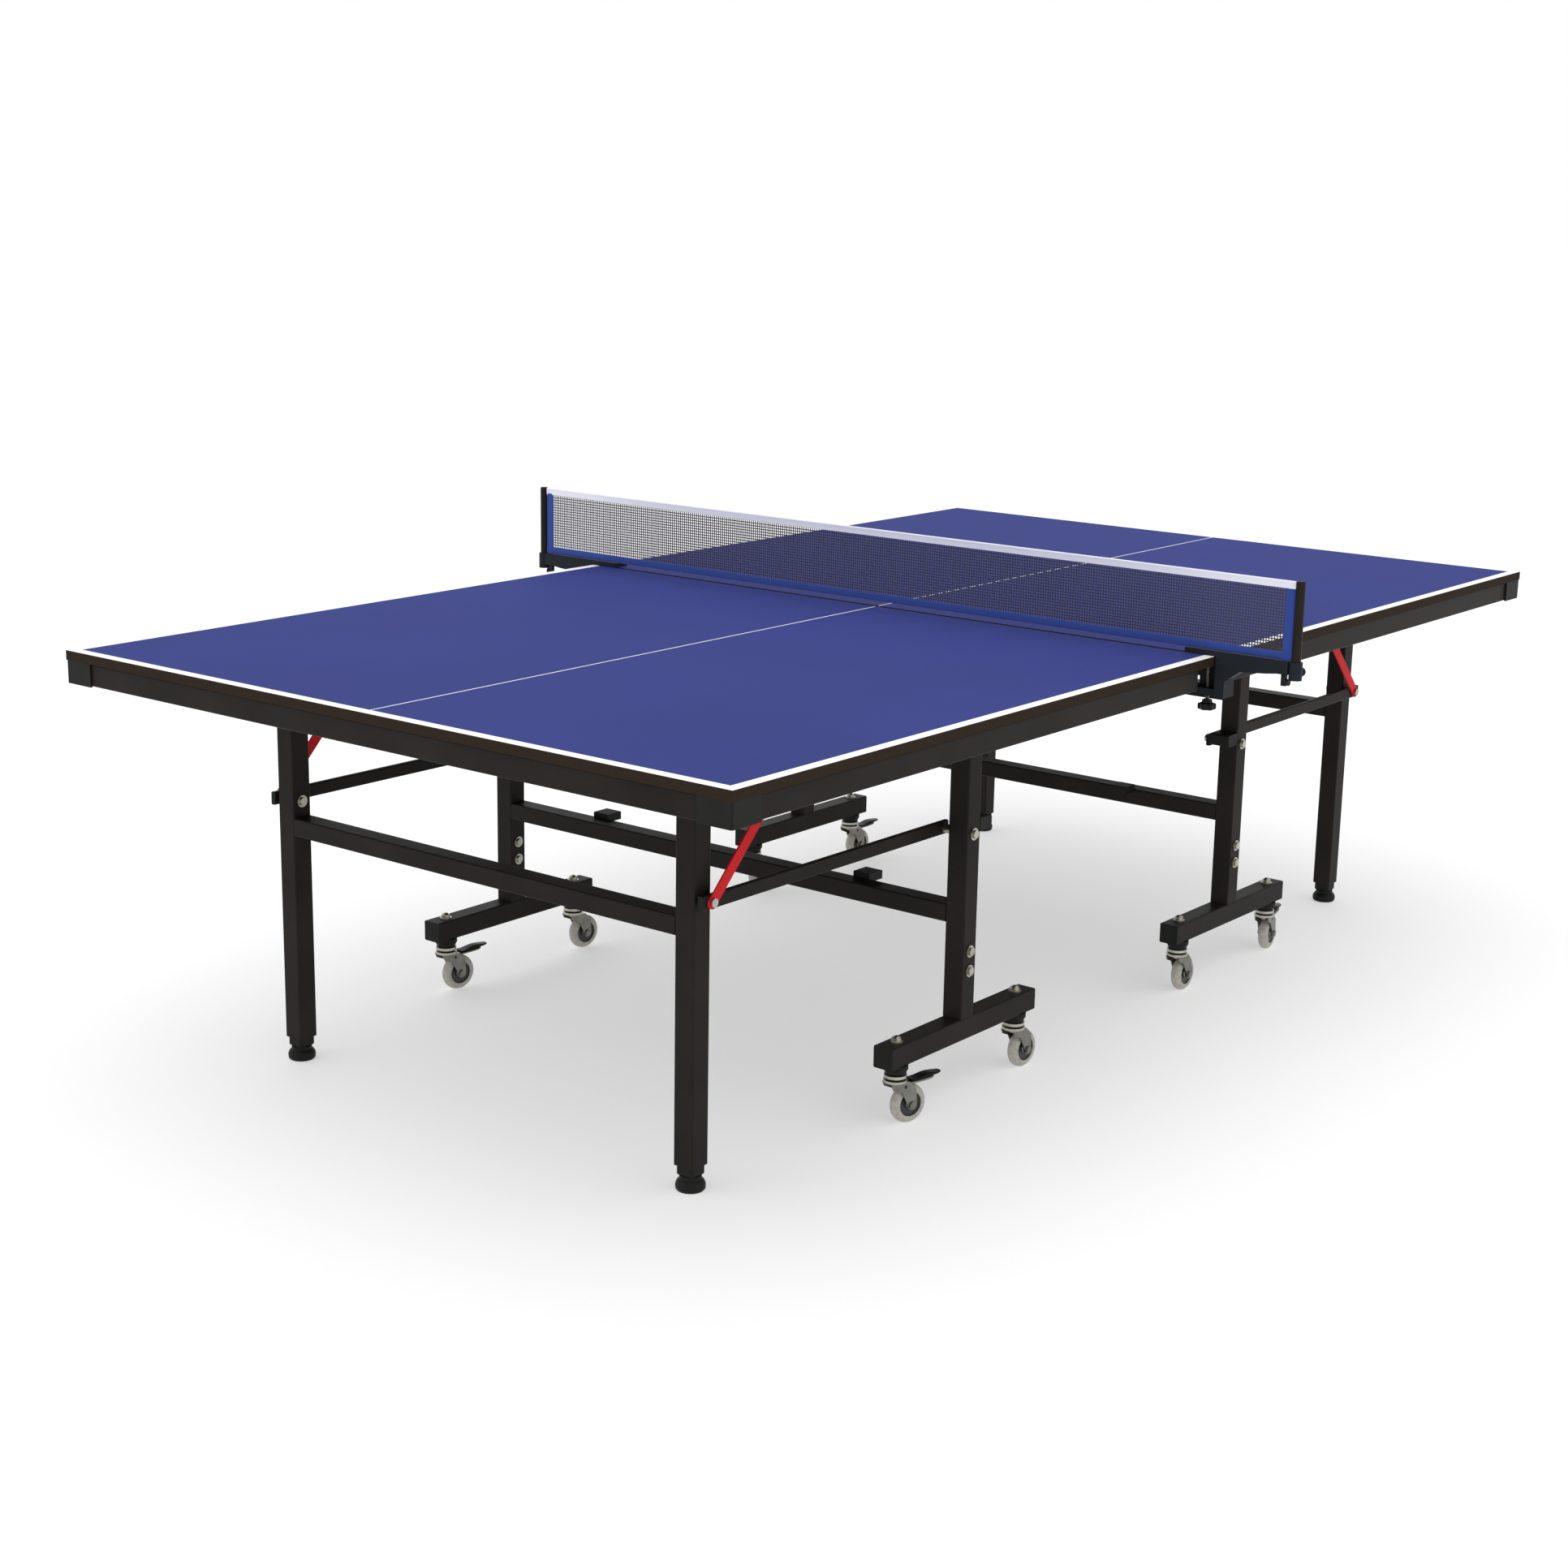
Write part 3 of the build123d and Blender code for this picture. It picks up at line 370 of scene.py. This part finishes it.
def woven(name, base, pitch, contrast):
    """Woven tape: warp and weft cross as two sines of the cloth's own coordinates, in metres."""
    cloth = Finish(name)
    u, v = cloth.cloth_axes()
    turn = 2 * math.pi / pitch
    warp = (u * turn).sine()
    weft = (v * turn).sine()
    weave = 0.5 + 0.5 * (warp * weft)
    fluff = cloth.noise(900, 4.0)
    soil = cloth.noise(11, 4.0)
    shade = 0.55 * weave + 0.45 * fluff
    tint = cloth.mix(shade, cloth.tone(base, 1 - contrast), cloth.tone(base, 1 + 0.4 * contrast))
    tint = cloth.mix(soil.ramp(0.5, 0.9) * 0.25, tint, cloth.tone(base, 0.75))
    return cloth.set(Base_Color=tint, Roughness=0.85, Sheen_Weight=0.25, Sheen_Roughness=0.4,
                     Normal=cloth.bump(shade, 0.5, 0.0005))


def wheel_finish(name, colours):
    """One wheel: the cloth coordinate v is the radius, so the tyre, ring and hub are bands of v."""
    wheel = Finish(name)
    angle, radius = wheel.cloth_axes()
    is_tyre = radius > SEAT_RADIUS
    is_hub = radius < HUB_RADIUS
    scuff = wheel.noise(140, 5.0)
    rubber = wheel.mix(scuff.ramp(0.35, 0.75), wheel.tone(colours.tyre, 1.06), wheel.tone(colours.tyre, 0.76))
    ring = wheel.mix(scuff, wheel.tone(colours.ring, 0.8), wheel.tone(colours.ring, 1.3))
    inner = wheel.mix(is_hub, ring, wheel.tone(colours.steel, 0.9))
    tread = (angle * (2 * math.pi * 60)).sine() * (radius > TREAD_RADIUS)
    return wheel.set(Base_Color=wheel.mix(is_tyre, inner, rubber), Metallic=1.0 * is_hub,
                     Roughness=0.34 + 0.2 * is_tyre + 0.12 * (scuff - 0.5),
                     Normal=wheel.bump(scuff + 0.15 * tread, 0.12, 0.0005))


def floor_finish(name):
    """Plain pale studio floor, with the faintest unevenness."""
    floor = Finish(name)
    cloud = floor.noise(0.6, 2.0)
    tint = floor.mix(cloud, (0.59, 0.59, 0.595), (0.61, 0.61, 0.61))
    return floor.set(Base_Color=tint, Roughness=0.75, Specular_IOR_Level=0.1, Emission_Color=(1.0, 1.0, 1.0),
                     Emission_Strength=0.43)


# ---------------------------------------------------------------- surfaces
def surface(name, points, closed=(False, False), cloth=None, sharp=40):
    """A mesh on a grid of points, where each cell of the grid is one face.

    points has the shape (rows, columns, 3). closed says which of the two ways round meets itself.
    cloth is the grid's (u, v), one column longer on each closed way. Faces end up pointing outwards.
    """
    rows, columns = points.shape[:2]
    row, column = np.meshgrid(np.arange(rows - (not closed[0])), np.arange(columns - (not closed[1])),
                              indexing="ij")
    corners = ((0, 0), (1, 0), (1, 1), (0, 1))
    faces = np.stack([(row + a) % rows * columns + (column + b) % columns for a, b in corners], axis=-1)
    mesh = bpy.data.meshes.new(name)
    mesh.from_pydata(points.reshape(-1, 3).tolist(), [], faces.reshape(-1, 4).tolist())
    if cloth is not None:
        uv = np.stack([cloth[row + a, column + b] for a, b in corners], axis=-2)
        mesh.uv_layers.new(name="cloth").uv.foreach_set("vector", uv.astype(np.float32).ravel())
    return tidy(name, mesh, sharp)


def tidy(name, mesh, sharp=40):
    """Merges doubles, turns the faces outwards, shades them smooth and makes the object."""
    shell = bmesh.new()
    shell.from_mesh(mesh)
    bmesh.ops.remove_doubles(shell, verts=shell.verts, dist=1e-6)
    bmesh.ops.recalc_face_normals(shell, faces=shell.faces)
    shell.to_mesh(mesh)
    shell.free()
    mesh.polygons.foreach_set("use_smooth", np.ones(len(mesh.polygons), bool))
    mesh.set_sharp_from_angle(angle=math.radians(sharp))
    piece = bpy.data.objects.new(name, mesh)
    bpy.context.scene.collection.objects.link(piece)
    return piece


def turned(name, profile, centre, axis, steps, lobes=0, lobe_depth=0.0):
    """A profile of (radius, distance along the axis) turned about an axis and closed both ways.

    Each point is centre + axis * distance + radius * (cos t * first + sin t * second), where first
    and second are square to the axis. The cloth's u is the turn and its v the radius. A lobed
    profile grows and shrinks by the share lobe_depth as cos(lobes * t).
    """
    profile = np.asarray(profile, float)
    axis = np.asarray(axis, float) / np.linalg.norm(axis)
    first = np.cross(axis, (0.0, 0.0, 1.0)) if abs(axis[2]) < 0.9 else np.array((1.0, 0.0, 0.0))
    first /= np.linalg.norm(first)
    second = np.cross(axis, first)
    turn = np.linspace(0, 2 * math.pi, steps, endpoint=False)
    ring = np.cos(turn)[:, None] * first + np.sin(turn)[:, None] * second
    ring *= (1 + lobe_depth * np.cos(lobes * turn))[:, None]
    points = (np.asarray(centre) + ring[:, None, :] * profile[None, :, :1]
              + axis * profile[None, :, 1:])
    u = np.linspace(0, 1, steps + 1)[:, None] * np.ones(len(profile) + 1)
    v = np.append(profile[:, 0], profile[0, 0])[None, :] * np.ones((steps + 1, 1))
    return surface(name, points, (True, True), np.stack([u, v], axis=-1))


def arc(centre, radius, start, end, count=9):
    """Points of a circular arc as (radius, distance) pairs; angles in degrees."""
    turn = np.radians(np.linspace(start, end, count))
    return np.stack([centre[0] + radius * np.cos(turn), centre[1] + radius * np.sin(turn)], axis=-1)


def boxes(name, low, high):
    """Many closed boxes as one mesh, from the arrays low and high of their corners."""
    unit = np.array([(x, y, z) for x in (0, 1) for y in (0, 1) for z in (0, 1)], float)
    quads = np.array([(0, 1, 3, 2), (4, 6, 7, 5), (0, 4, 5, 1), (2, 3, 7, 6), (0, 2, 6, 4), (1, 5, 7, 3)])
    points = low[:, None, :] + unit[None] * (high - low)[:, None, :]
    faces = quads[None] + 8 * np.arange(len(low))[:, None, None]
    mesh = bpy.data.meshes.new(name)
    mesh.from_pydata(points.reshape(-1, 3).tolist(), [], faces.reshape(-1, 4).tolist())
    piece = bpy.data.objects.new(name, mesh)
    bpy.context.scene.collection.objects.link(piece)
    return piece


def with_end_caps(points):
    """The sections of a tube with its first and last drawn in to their middles, which closes it."""
    first, last = (np.broadcast_to(points[end].mean(axis=0), points[:1].shape) for end in (0, -1))
    return np.concatenate([first, points, last])


def ribbon(name, outline, path_y, sway):
    """An outline of (x, z) points carried along Y.

    Each section is shifted in X and Z by sway(y). The ends are drawn in to their middle to close
    them. The cloth's u is the distance along Y and its v the distance round the outline.
    """
    outline = np.asarray(outline, float)
    shift = sway(path_y)
    points = np.empty((len(path_y), len(outline), 3))
    points[:, :, 0] = outline[None, :, 0] + shift[:, None, 0]
    points[:, :, 1] = path_y[:, None]
    points[:, :, 2] = outline[None, :, 1] + shift[:, None, 1]
    points = with_end_caps(points)
    path_y = np.concatenate([path_y[:1], path_y, path_y[-1:]])
    step = np.linalg.norm(np.roll(outline, -1, axis=0) - outline, axis=1)
    v = np.concatenate([[0], np.cumsum(step)])
    u, v = np.meshgrid(path_y, v, indexing="ij")
    return surface(name, points, (False, True), np.stack([u, v], axis=-1), sharp=55)


def paint(names, material):
    """Gives CAD nodes a material through their object's slots."""
    for name in names:
        for slot in NODES[name].material_slots:
            slot.material = material


def wear(piece, material, body):
    """Gives a new piece its material and its body."""
    piece.data.materials.append(material)
    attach(piece, body)
    return piece


def named(ending):
    """The CAD nodes whose names end so."""
    return [name for name in NODES if name.endswith(ending)]


# ---------------------------------------------------------------- operators
class TABLE_OT_boards(bpy.types.Operator):
    """Paint the two playing boards and their lines"""
    bl_idname = "table.boards"
    bl_label = "Boards"

    def execute(self, context):
        scene = context.scene
        paint(named("_board"), playing_coat("playing_coat", scene.table_colours, scene.table_sizes))
        return {"FINISHED"}


class TABLE_OT_frames(bpy.types.Operator):
    """Finish the aprons, rails, legs, wheel frames, struts, brackets, clamps and braces"""
    bl_idname = "table.frames"
    bl_label = "Frames"

    def execute(self, context):
        colours = context.scene.table_colours
        black = powder_coat("black_powder_coat", tuple(colours.frame))
        for ending in ("_top_frame", "_wheel_frame", "_leg_frame", "_struts", "_top_brackets", "net_posts"):
            paint(named(ending), black)
        paint([f"net_clamp_{side}" for side in SIDES], powder_coat("clamp_powder_coat", tuple(colours.clamp)))
        red = gloss_paint("red_enamel", tuple(colours.lever))
        paint([f"{half}_brace_{side}" for half in HALVES for side in SIDES], red)
        return {"FINISHED"}


class TABLE_OT_fittings(bpy.types.Operator):
    """Finish the plastic mouldings, feet, knobs, fasteners and caster forks"""
    bl_idname = "table.fittings"
    bl_label = "Fittings"

    def execute(self, context):
        colours = context.scene.table_colours
        plastic = moulded_plastic("black_moulding", tuple(colours.plastic))
        for ending in ("_mouldings", "_corner_guards", "_leg_inserts", "_strut_caps"):
            paint(named(ending), plastic)
        paint([name for name in NODES if "_foot_" in name or "knob" in name], plastic)
        zinc = plated_metal("zinc_plate", tuple(colours.zinc), 0.3)
        for ending in ("_wheel_frame_bolts", "_leg_bolts"):
            paint(named(ending), zinc)
        paint(named("_fork"), caster_steel("caster_steel", colours))
        return {"FINISHED"}


class TABLE_OT_wheels(bpy.types.Operator):
    """Build the eight wheels, each with a rounded tyre, a dark ring and a hub"""
    bl_idname = "table.wheels"
    bl_label = "Wheels"

    def execute(self, context):
        scene = context.scene
        finish = wheel_finish("wheel_finish", scene.table_colours)
        half = np.concatenate([
            [(4.3, 0.0), (4.3, 11.4)],
            [(8.6, 11.5), (9.3, 11.0), (10.0, 9.2), (10.6, 7.6)],
            [(20.8, 7.4), (21.4, 8.0), (21.7, 9.4)],
            arc((24.0, 8.4), 2.4, 140, 75, 5),
            arc((24.0, 0.0), 11.0, 68, 0, 12),
        ]) * MM
        profile = np.concatenate([half, half[-2:0:-1] * (1, -1)])
        for name in named("_wheel"):
            body = name.replace("_wheel", "_roller")
            joint = JOINTS[name + "_spin"]
            wheel = turned(name + "_turned", profile, joint["pos_m"], joint["axis"], scene.table_sizes.turns)
            wear(wheel, finish, body)
            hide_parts(name)
        return {"FINISHED"}


class TABLE_OT_pedals(bpy.types.Operator):
    """Build the brake pedals: a pressed steel tongue under a black tread"""
    bl_idname = "table.pedals"
    bl_label = "Brake pedals"

    def execute(self, context):
        colours = context.scene.table_colours
        steel = plated_metal("pedal_steel", tuple(colours.steel), 0.3)
        plastic = moulded_plastic("pedal_tread", tuple(colours.plastic), 0.3)
        for name in named("_brake_pedal"):
            caster = name.replace("_brake_pedal", "")
            stem = np.array(JOINTS[caster + "_swivel_turn"]["pos_m"]) * (1, 1, 0)
            across = np.array(JOINTS[caster + "_brake_press"]["axis"])
            tongue = pedal_blade(name + "_tongue", stem, across, (9.5, 80), (71.4, 74.2), (5.0, 4.6), 12.8)
            tread = pedal_blade(name + "_tread", stem, across, (30, 95), (76.6, 81.0), (2.8, 6.4), 11.4)
            wear(tongue, steel, caster + "_brake")
            wear(tread, plastic, caster + "_brake")
            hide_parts(name)
        return {"FINISHED"}


def pedal_blade(name, stem, across, reach, floor, thick, half_width):
    """A closed blade along the caster's trail, in millimetres.

    At the share s of its length, its underside is at floor, which rises from the first to the
    second height as s squared, and its thickness goes from one value to the other as a hump. Its
    half width shrinks as a quarter circle over the last fifth, so the tip is round.
    """
    share = np.sin(np.linspace(0, math.pi / 2, 25))
    x = reach[0] + (reach[1] - reach[0]) * share
    low = floor[0] + (floor[1] - floor[0]) * share ** 2
    tip = np.sqrt(np.clip(1 - np.clip((share - 0.8) / 0.2, 0, 1) ** 2, 0, 1))
    depth = (thick[0] + (thick[1] - thick[0]) * np.sin(math.pi * np.clip(share * 1.1 - 0.1, 0, 1)) ** 2)
    turn = np.linspace(0, 2 * math.pi, 32, endpoint=False)
    y = np.sign(np.cos(turn)) * np.abs(np.cos(turn)) ** 0.35
    z = np.sign(np.sin(turn)) * np.abs(np.sin(turn)) ** 0.6
    width = half_width * (0.25 + 0.75 * tip) * (1 - 0.15 * share)
    rise = depth * (0.35 + 0.65 * tip)
    heading = np.array((across[1], -across[0], 0.0))
    middle = stem + (heading * x[:, None] + np.array((0, 0, 1.0)) * (low + depth / 2)[:, None]) * MM
    points = (middle[:, None, :] + across * (width[:, None] * y)[..., None] * MM
              + np.array((0, 0, 1.0)) * (rise[:, None] / 2 * z)[..., None] * MM)
    return surface(name, with_end_caps(points), (False, True))


class TABLE_OT_screws(bpy.types.Operator):
    """Build the clamp screws: a threaded steel shaft with a dark pad and a star knob"""
    bl_idname = "table.screws"
    bl_label = "Clamp screws"

    def execute(self, context):
        colours = context.scene.table_colours
        steel = plated_metal("screw_steel", tuple(colours.zinc), 0.28)
        plastic = moulded_plastic("screw_plastic", tuple(colours.plastic), 0.4)
        turns = np.arange(0, 71, 0.5)
        thread = np.stack([3.45 + 0.35 * np.cos(turns * math.pi), turns], axis=-1)
        shaft = np.concatenate([[(0, 0)], thread, [(0, 70.5)]])
        pad = [(0, 70), (6.5, 70), (7.6, 70.8), (8, 72), (8, 73.4), (7.7, 73.7), (0, 73.7)]
        star = [(0, -13), (11.5, -13), (14.5, -12), (15.2, -10), (15.2, -4), (14.5, -1.6), (11, -0.6),
                (8.5, 0.2), (8.2, 5), (7.4, 6), (0, 6)]
        for side in SIDES:
            place = np.array(JOINTS[f"{side}_clamp_screw_turn"]["pos_m"])
            place[2] = CLAMP_SCREW_FOOT
            for ending, profile, finish, lobes, slot_name in (
                    ("shaft", shaft, steel, 0, "zinc"), ("pad", pad, plastic, 0, "black_plastic"),
                    ("star", star, plastic, 6, "black_plastic")):
                name = f"clamp_screw_{side}_{ending}"
                piece = turned(name, np.array(profile, float) * MM, place, (0, 0, 1), 96, lobes,
                               0.11 if lobes else 0)
                wear(piece, finish, f"{side}_clamp_screw")
                if ending == "shaft":
                    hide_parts(f"clamp_screw_{side}")
        return {"FINISHED"}


class TABLE_OT_net(bpy.types.Operator):
    """Build the net: its threads, white tape, side bands and foot band"""
    bl_idname = "table.net"
    bl_label = "Net"

    def execute(self, context):
        colours = context.scene.table_colours
        sizes = context.scene.table_sizes
        low, high = (np.array(corner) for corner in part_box("net"))
        middle = (low[0] + high[0]) / 2
        threads = net_threads(low, high, middle, sizes)
        wear(threads, thread_finish("net_thread", tuple(colours.net)), "net_set")
        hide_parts("net")
        white = woven("tape_weave", tuple(colours.tape), 2.6 * MM, 0.16)
        blue = woven("band_weave", tuple(colours.band), 2.2 * MM, 0.25)
        tape = wear(net_tape(low, high, middle, sizes), white, "net_set")
        foot = wear(foot_band(low, high, middle, sizes), blue, "net_set")
        bands = [wear(side_band(side, low, high, middle, sizes), blue, "net_set")
                 for side in SIDES]
        return {"FINISHED"}


def net_threads(low, high, middle, sizes):
    """Straight threads at one spacing both ways, each a thin box, the upright ones in front."""
    width = sizes.thread / 2
    margin = 3 * MM
    across = np.arange(low[1] + margin, high[1] - margin, sizes.cell)
    level = np.arange(low[2] + margin, high[2] - margin, sizes.cell)
    upright = np.stack([np.full_like(across, middle - 0.55 * width), across,
                        np.full_like(across, (low[2] + high[2]) / 2)], axis=-1)
    upright_half = np.array((0.5 * width, width, (high[2] - low[2]) / 2 - 2 * MM))
    flat = np.stack([np.full_like(level, middle + 0.55 * width), np.zeros_like(level), level], axis=-1)
    flat_half = np.array((0.5 * width, (high[1] - low[1]) / 2 - 2 * MM, width))
    return boxes("net_mesh", np.concatenate([upright - upright_half, flat - flat_half]),
                 np.concatenate([upright + upright_half, flat + flat_half]))


def no_sway(path_y):
    """No shift in X or Z."""
    return np.zeros((len(path_y), 2))


def net_tape(low, high, middle, sizes):
    """White tape folded over a cord: a round top of the cord's size on two flat falls."""
    bead = 2.4 * MM
    fall = 2.0 * MM
    top = high[2] - bead
    arc_turn = np.radians(np.linspace(-25, 205, 15))
    round_top = np.stack([middle + bead * np.cos(arc_turn), top + bead * np.sin(arc_turn)], axis=-1)
    foot = high[2] - sizes.tape
    falls = [(middle - fall, top - 2.2 * MM), (middle - fall, foot), (middle + fall, foot),
             (middle + fall, top - 2.2 * MM)]

    def sway(path_y):
        shift = no_sway(path_y)
        shift[:, 0] = 0.35 * MM * np.sin(path_y * 9.1) + 0.2 * MM * np.sin(path_y * 23.7 + 1)
        shift[:, 1] = -0.4 * MM * np.cos(path_y / high[1] * math.pi / 2) ** 2
        return shift

    return ribbon("net_tape", np.concatenate([round_top, falls]), np.linspace(low[1], high[1], 241), sway)


def foot_band(low, high, middle, sizes):
    """Blue band round the net's foot, a flat oval in section."""
    turn = np.linspace(0, 2 * math.pi, 20, endpoint=False)
    tall = sizes.foot_band / 2
    outline = np.stack([middle + 1.8 * MM * np.cos(turn),
                        low[2] + tall + tall * np.sign(np.sin(turn)) * np.abs(np.sin(turn)) ** 0.5], axis=-1)
    return ribbon("net_foot_band", outline, np.linspace(low[1], high[1], 121), no_sway)


def side_band(side, low, high, middle, sizes):
    """Blue band beside a post, from the foot to the tape, a flat oval in plan."""
    sign = -1 if side == "right" else 1
    outer = sign * high[1]
    half = sizes.side_band / 2
    turn = np.linspace(0, 2 * math.pi, 24, endpoint=False)
    height = np.linspace(low[2], high[2] - 0.8 * sizes.tape, 24)
    thick = 1.9 * MM
    x = middle + thick * np.sin(turn)
    y = outer - sign * half + half * np.sign(np.cos(turn)) * np.abs(np.cos(turn)) ** 0.4
    points = np.stack(np.broadcast_arrays(x[None], y[None], height[:, None]), axis=-1).astype(float)
    points = with_end_caps(points)
    rise = np.concatenate([height[:1], height, height[-1:]])
    round_it = np.linspace(0, 4 * half, len(turn) + 1)
    u, v = np.meshgrid(rise, round_it, indexing="ij")
    return surface(f"net_side_band_{side}", points, (False, True), np.stack([u, v], axis=-1), sharp=55)


class TABLE_OT_stage(bpy.types.Operator):
    """Lay the floor, hang the lights and set the camera"""
    bl_idname = "table.stage"
    bl_label = "Stage"

    def execute(self, context):
        scene = context.scene
        settings = scene.table_stage
        reach = np.array((0.0, 1.5, 3.0, 6.0, 12.0, 24.0, 48.0))
        turn = np.linspace(0, 2 * math.pi, 64, endpoint=False)
        points = np.stack([reach[:, None] * np.cos(turn), reach[:, None] * np.sin(turn),
                           np.zeros((len(reach), len(turn)))], axis=-1)
        floor = surface("studio_floor", points, (False, True))
        floor.data.materials.append(floor_finish("studio_floor"))
        sky(scene, settings.sky)
        area_light("overhead", (0.0, 0.0, 4.2), (0, 0, 0), (5.5, 4.0), settings.key, (1, 1, 1))
        area_light("front_left", (-5.5, 2.5, 2.6), (-0.3, 0, 0.5), (3.0, 2.4), 0.35 * settings.key, (1, 1, 1))
        area_light("front_right", (-1.5, -6.5, 1.8), (0, 0, 0.5), (4.0, 2.2), 0.3 * settings.key,
                   (1, 0.95, 0.88))
        scene.camera = studio_camera(settings)
        scene.view_settings.view_transform = "Standard"
        return {"FINISHED"}


def sky(scene, strength):
    """Even white light from all round."""
    world = bpy.data.worlds.new("studio_sky")
    world.use_nodes = True
    background = world.node_tree.nodes["Background"]
    background.inputs["Color"].default_value = (1, 1, 1, 1)
    background.inputs["Strength"].default_value = strength
    scene.world = world


def looking(back, up):
    """A turn whose own Z points along back and whose X is level with up."""
    back = np.asarray(back, float) / np.linalg.norm(back)
    right = np.cross(up, back)
    right /= np.linalg.norm(right)
    return right, np.cross(back, right), back


def area_light(name, place, target, size, power, tint):
    """A rectangular soft light that faces its target."""
    lamp = bpy.data.lights.new(name, "AREA")
    lamp.shape = "RECTANGLE"
    lamp.size, lamp.size_y = size
    lamp.energy = power
    lamp.color = tint
    right, up, back = looking(np.subtract(place, target), (0, 1, 0) if name == "overhead" else (0, 0, 1))
    rig = bpy.data.objects.new(name, lamp)
    rig.matrix_world = placed(right, up, back, place)
    bpy.context.scene.collection.objects.link(rig)


def placed(right, up, back, place):
    """The matrix whose columns are three axes and a place."""
    matrix = np.eye(4)
    matrix[:3, :4] = np.stack([right, up, back, place], axis=-1)
    return Matrix(matrix.tolist())


def studio_camera(settings):
    """Camera at the azimuth, elevation and roll of the settings, with depth of field off."""
    azimuth, elevation, roll = settings.azimuth, settings.elevation, settings.roll
    back = np.array((math.sin(azimuth) * math.cos(elevation), -math.cos(azimuth) * math.cos(elevation),
                     math.sin(elevation)))
    right, up, back = looking(back, (0, 0, 1))
    tilted_right = math.cos(roll) * right + math.sin(roll) * up
    tilted_up = math.cos(roll) * up - math.sin(roll) * right
    lens = bpy.data.cameras.new("studio_camera")
    lens.sensor_width = 36
    lens.lens = settings.lens
    lens.clip_end = 200
    camera = bpy.data.objects.new("studio_camera", lens)
    camera.matrix_world = placed(tilted_right, tilted_up, back, settings.place)
    bpy.context.scene.collection.objects.link(camera)
    return camera


STEPS = (TABLE_OT_boards, TABLE_OT_frames, TABLE_OT_fittings, TABLE_OT_wheels, TABLE_OT_pedals,
         TABLE_OT_screws, TABLE_OT_net, TABLE_OT_stage)


class TABLE_PT_sidebar(bpy.types.Panel):
    """Sidebar panel with every step of the table"""
    bl_idname = "TABLE_PT_sidebar"
    bl_label = "Table-tennis table"
    bl_space_type = "VIEW_3D"
    bl_region_type = "UI"
    bl_category = "Table tennis"

    def draw(self, context):
        for step in STEPS:
            self.layout.operator(step.bl_idname)


CLASSES = (TableColours, TableSizes, StageSettings, *STEPS, TABLE_PT_sidebar)
SETTINGS = {"table_colours": TableColours, "table_sizes": TableSizes, "table_stage": StageSettings}


def register():
    """Registers the classes and their settings."""
    for cls in CLASSES:
        bpy.utils.register_class(cls)
    for name, group in SETTINGS.items():
        setattr(bpy.types.Scene, name, PointerProperty(type=group))


def unregister():
    """Removes the settings and the classes."""
    for name in SETTINGS:
        delattr(bpy.types.Scene, name)
    for cls in reversed(CLASSES):
        bpy.utils.unregister_class(cls)


def main():
    """Runs every step in order."""
    register()
    for step in STEPS:
        operator = step.bl_idname.split(".")[1]
        getattr(bpy.ops.table, operator)()


if __name__ == "__main__":
    main()
